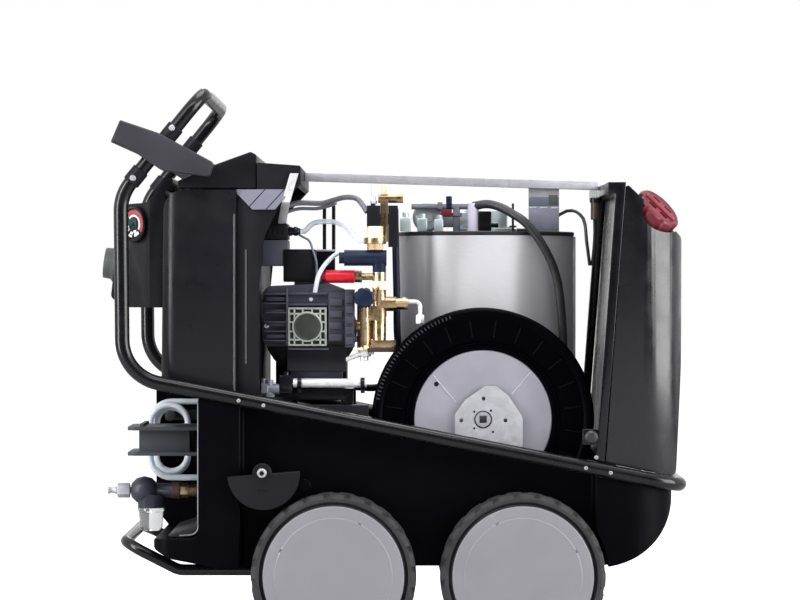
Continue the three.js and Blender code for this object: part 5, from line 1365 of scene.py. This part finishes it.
def add_burner_body():
    (x, y), z = BOILER, LID_TOP
    base = [rod((x, y, z), (x, y, z + 8), 62, 1.5, 72), rod((x, y, z + 7), (x, y, z + 46), 44, 4, 64)]
    for angle in (0.4, 1.97, 3.54, 5.11):
        a, b = x + 53 * math.cos(angle), y + 53 * math.sin(angle)
        base.append(nut((a, b, z + 7.5), (a, b, z + 13), 6))
    piece("burner_base", base, "burner_teal", "burner_head")
    fan_x, fan_z = x - 118, z + 30
    fan = lathe([(0, 0), (26, 0), (29.5, 3), (29.5, 46), (28, 48), (28, 52), (29.5, 54), (29.5, 97),
                 (26, 100), (0, 100)], (fan_x, y - 50, fan_z), (0, 1, 0))
    piece("burner_fan", [fan, block(x - 130, x - 20, y - 26, y + 26, z + 10, z + 40, 4)], "burner_teal")
    bosses = [rod((fan_x, y - 53, fan_z), (fan_x, y - 50, fan_z), 11),
              block(fan_x - 24, fan_x - 12, y - 56, y - 49, fan_z - 14, fan_z + 2, 1)]
    piece("burner_fan_boss", bosses, "galvanised")


def add_burner_pipes():
    (x, y), z = BOILER, LID_TOP
    pipes = [rod((x - 150, PIPE_Y, PIPE_Z), (x - 10, PIPE_Y, PIPE_Z), 5.5),
             rod((x - 60, PIPE_Y, z), (x - 60, PIPE_Y, PIPE_Z), 7),
             rod((x - 20, PIPE_Y, PIPE_Z), (x - 20, y, z + 42), 5),
             nut((x - 98, PIPE_Y, PIPE_Z), (x - 88, PIPE_Y, PIPE_Z), 9),
             nut((x - 60, PIPE_Y, z + 30), (x - 60, PIPE_Y, z + 38), 11)]
    piece("burner_pipes", pipes, "dull_steel")
    nub = [rod((x - 75, PIPE_Y, PIPE_Z + 4), (x - 75, PIPE_Y, PIPE_Z + 21), 6, 1.5),
           block(x - 81, x - 69, PIPE_Y - 6, PIPE_Y + 6, PIPE_Z - 4, PIPE_Z + 8, 1.5)]
    piece("burner_nub", nub, "knob_blue")
    clip = block(x - 91, x - 69, PIPE_Y - 7, PIPE_Y + 5, PIPE_Z - 20, PIPE_Z - 5, 2)
    piece("burner_clip", clip, "red_plastic")


def add_burner_fittings():
    (x, y), z = BOILER, LID_TOP
    stubs = [block(12 + 34 * i, 34 + 32 * i, y - 102, y - 84, z, z + 28 - 2 * i, 2) for i in range(3)]
    stubs += [rod((23 + 34 * i, y - 93, z + 24), (23 + 34 * i, y - 93, z + 38 - 3 * i), 6) for i in range(3)]
    piece("burner_terminals", stubs, "burner_teal")
    igniter = [block(x - 18, x + 8, y - 128, y - 96, z, z + 40, 3),
               rod((x + 7, y - 112, z + 12), (x + 22, y - 112, z + 12), 5)]
    piece("igniter_box", igniter, "black_gloss")
    posts = [rod((237, -20, z), (237, -20, z + 56), 2.4), rod((230, -20, z + 10), (244, -20, z + 10), 2)]
    piece("burner_posts", posts, "sheet_dark")


# ---------------------------------------------------------------- bracket, screws and gasket
def add_bracket_detail():
    piece("bracket_patch", block(309, 327, -4, -2, 868, 888, 0.6), "grey_plastic")
    piece("bracket_rib", [block(x, x + 14, -4.6, -2, 861, 864, 0.6) for x in (270, 292, 314)], "bright_steel")
    for name, low, high, finish in (("upper", 865, 884, "strap_blue"), ("lower", 818.5, 865, "strap_lilac")):
        piece(f"bracket_{name}", block(269.2, 329.8, -3.4, -1.8, low, high, 0.6), finish)
    piece("level_sensor", rod((402, -20, 838), (402, -20, 873), 10, 1), "brown_dark")
    cap = lathe([(0, 0), (12, 0), (12, 9), (10, 10.4), (0, 10.4)], (402, -20, 872), segments=40)
    piece("level_sensor_cap", cap, "black_gloss")


def add_frame_screws():
    tube_face = -HALF_TRACK - TUBE_RADIUS + 0.8
    places = ((-294.6, 489), (-247.5, 480), (365.3, 361), (412.5, 352))
    heads = [screw((x, tube_face, z), 3.6) for x, z in places]
    piece("frame_screws", [*heads, screw((386, -285.8, 380))], "galvanised")


def add_filter_gasket():
    union_left = (FROM_FRAME @ Vector(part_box("brass_union")[0])).x
    gasket = ring(13.5, 16.4, 15, (union_left - 16, -120, 306), (1, 0, 0), 48)
    piece("filter_gasket", gasket, "brown_dark")
    # a light steel rod down the inlet panel's near edge and along the tub lip: partly the panel's metal edge,
    # partly a painted highlight of the lip
    edge = bent_line([vec(-375.5, -239.6, 482), vec(-375.5, -239.6, 229), vec(-412, -239.6, 226.5)], 16)
    piece("inlet_edge", tube(edge, 2.2, 14), "dull_steel")


# ---------------------------------------------------------------- the rest follows the CAD forms
# Node, finish, and width of the rounded edges.
REFINED = (
    ("reel_swivel_bracket", "galvanised", 0.8),
    ("top_rail", "galvanised", 1.0),
    ("tank_arch", "tube_black", 1.2),
    ("fuel_line", "hose_rubber", 0.3),
    ("electric_motor", "cast_grey", 1.0),
    ("pump_crankcase", "cast_grey", 1.2),
    ("pump_head", "cast_grey", 1.2),
    ("brass_manifold", "brass", 0.6),
    ("pressure_switch", "knob_blue", 1.0),
    ("valve_stack", "brass", 0.6),
    ("solenoid_coils", "black_plastic", 1.0),
    ("bypass_cap", "bypass_red", 0.8),
    ("clear_hose", "pale_hose", 0.3),
    ("engine_cradle", "tube_black", 0.8),
    ("float_tank", "black_plastic", 2.0),
    ("tower_bulkhead", "black_plastic", 2.2),
    ("tower_flap", "tower_black", 3.0),
    ("control_panel", "tower_black", 1.5),
    ("rotary_switch", "grey_plastic", 1.0),
    ("inlet_panel", "sheet_dark", 0.6),
    ("filter_head", "filter_grey", 1.0),
    ("filter_bowl", "clear_bowl", 0.5),
    ("inlet_coupling", "galvanised", 0.5),
    ("brass_union", "brass", 0.6),
    ("cable_winder", "winder_grey", 1.0),
    ("latch_knob", "hose_rubber", 0.8),
    ("unloader_knob", "knob_blue", 0.8),
)


def add_refined():
    bodies = frame["record"]["behaviour"]["bodies"]
    for node, finish, width in REFINED:
        body = next(body for body, members in bodies.items() if node in members)
        piece(f"{node}_finished", refined(node, width), finish, node, body)


add_camera()
make_materials()
add_hank()
set_stage()
add_frame_tubes()
add_horns()
add_tub()
add_wheels()
add_brake()
add_reel()
add_bearing_plate()
add_boiler()
add_pressure_hose()
add_fuel_tank()
add_fuel_cap()
add_tower()
add_gauge()
add_pump_cover()
add_crankcase_detail()
add_contactors()
add_shoulder()
add_bay_hoses()
add_cradle_detail()
add_outlet_elbow()
add_burner_body()
add_burner_pipes()
add_burner_fittings()
add_bracket_detail()
add_frame_screws()
add_filter_gasket()
add_refined()
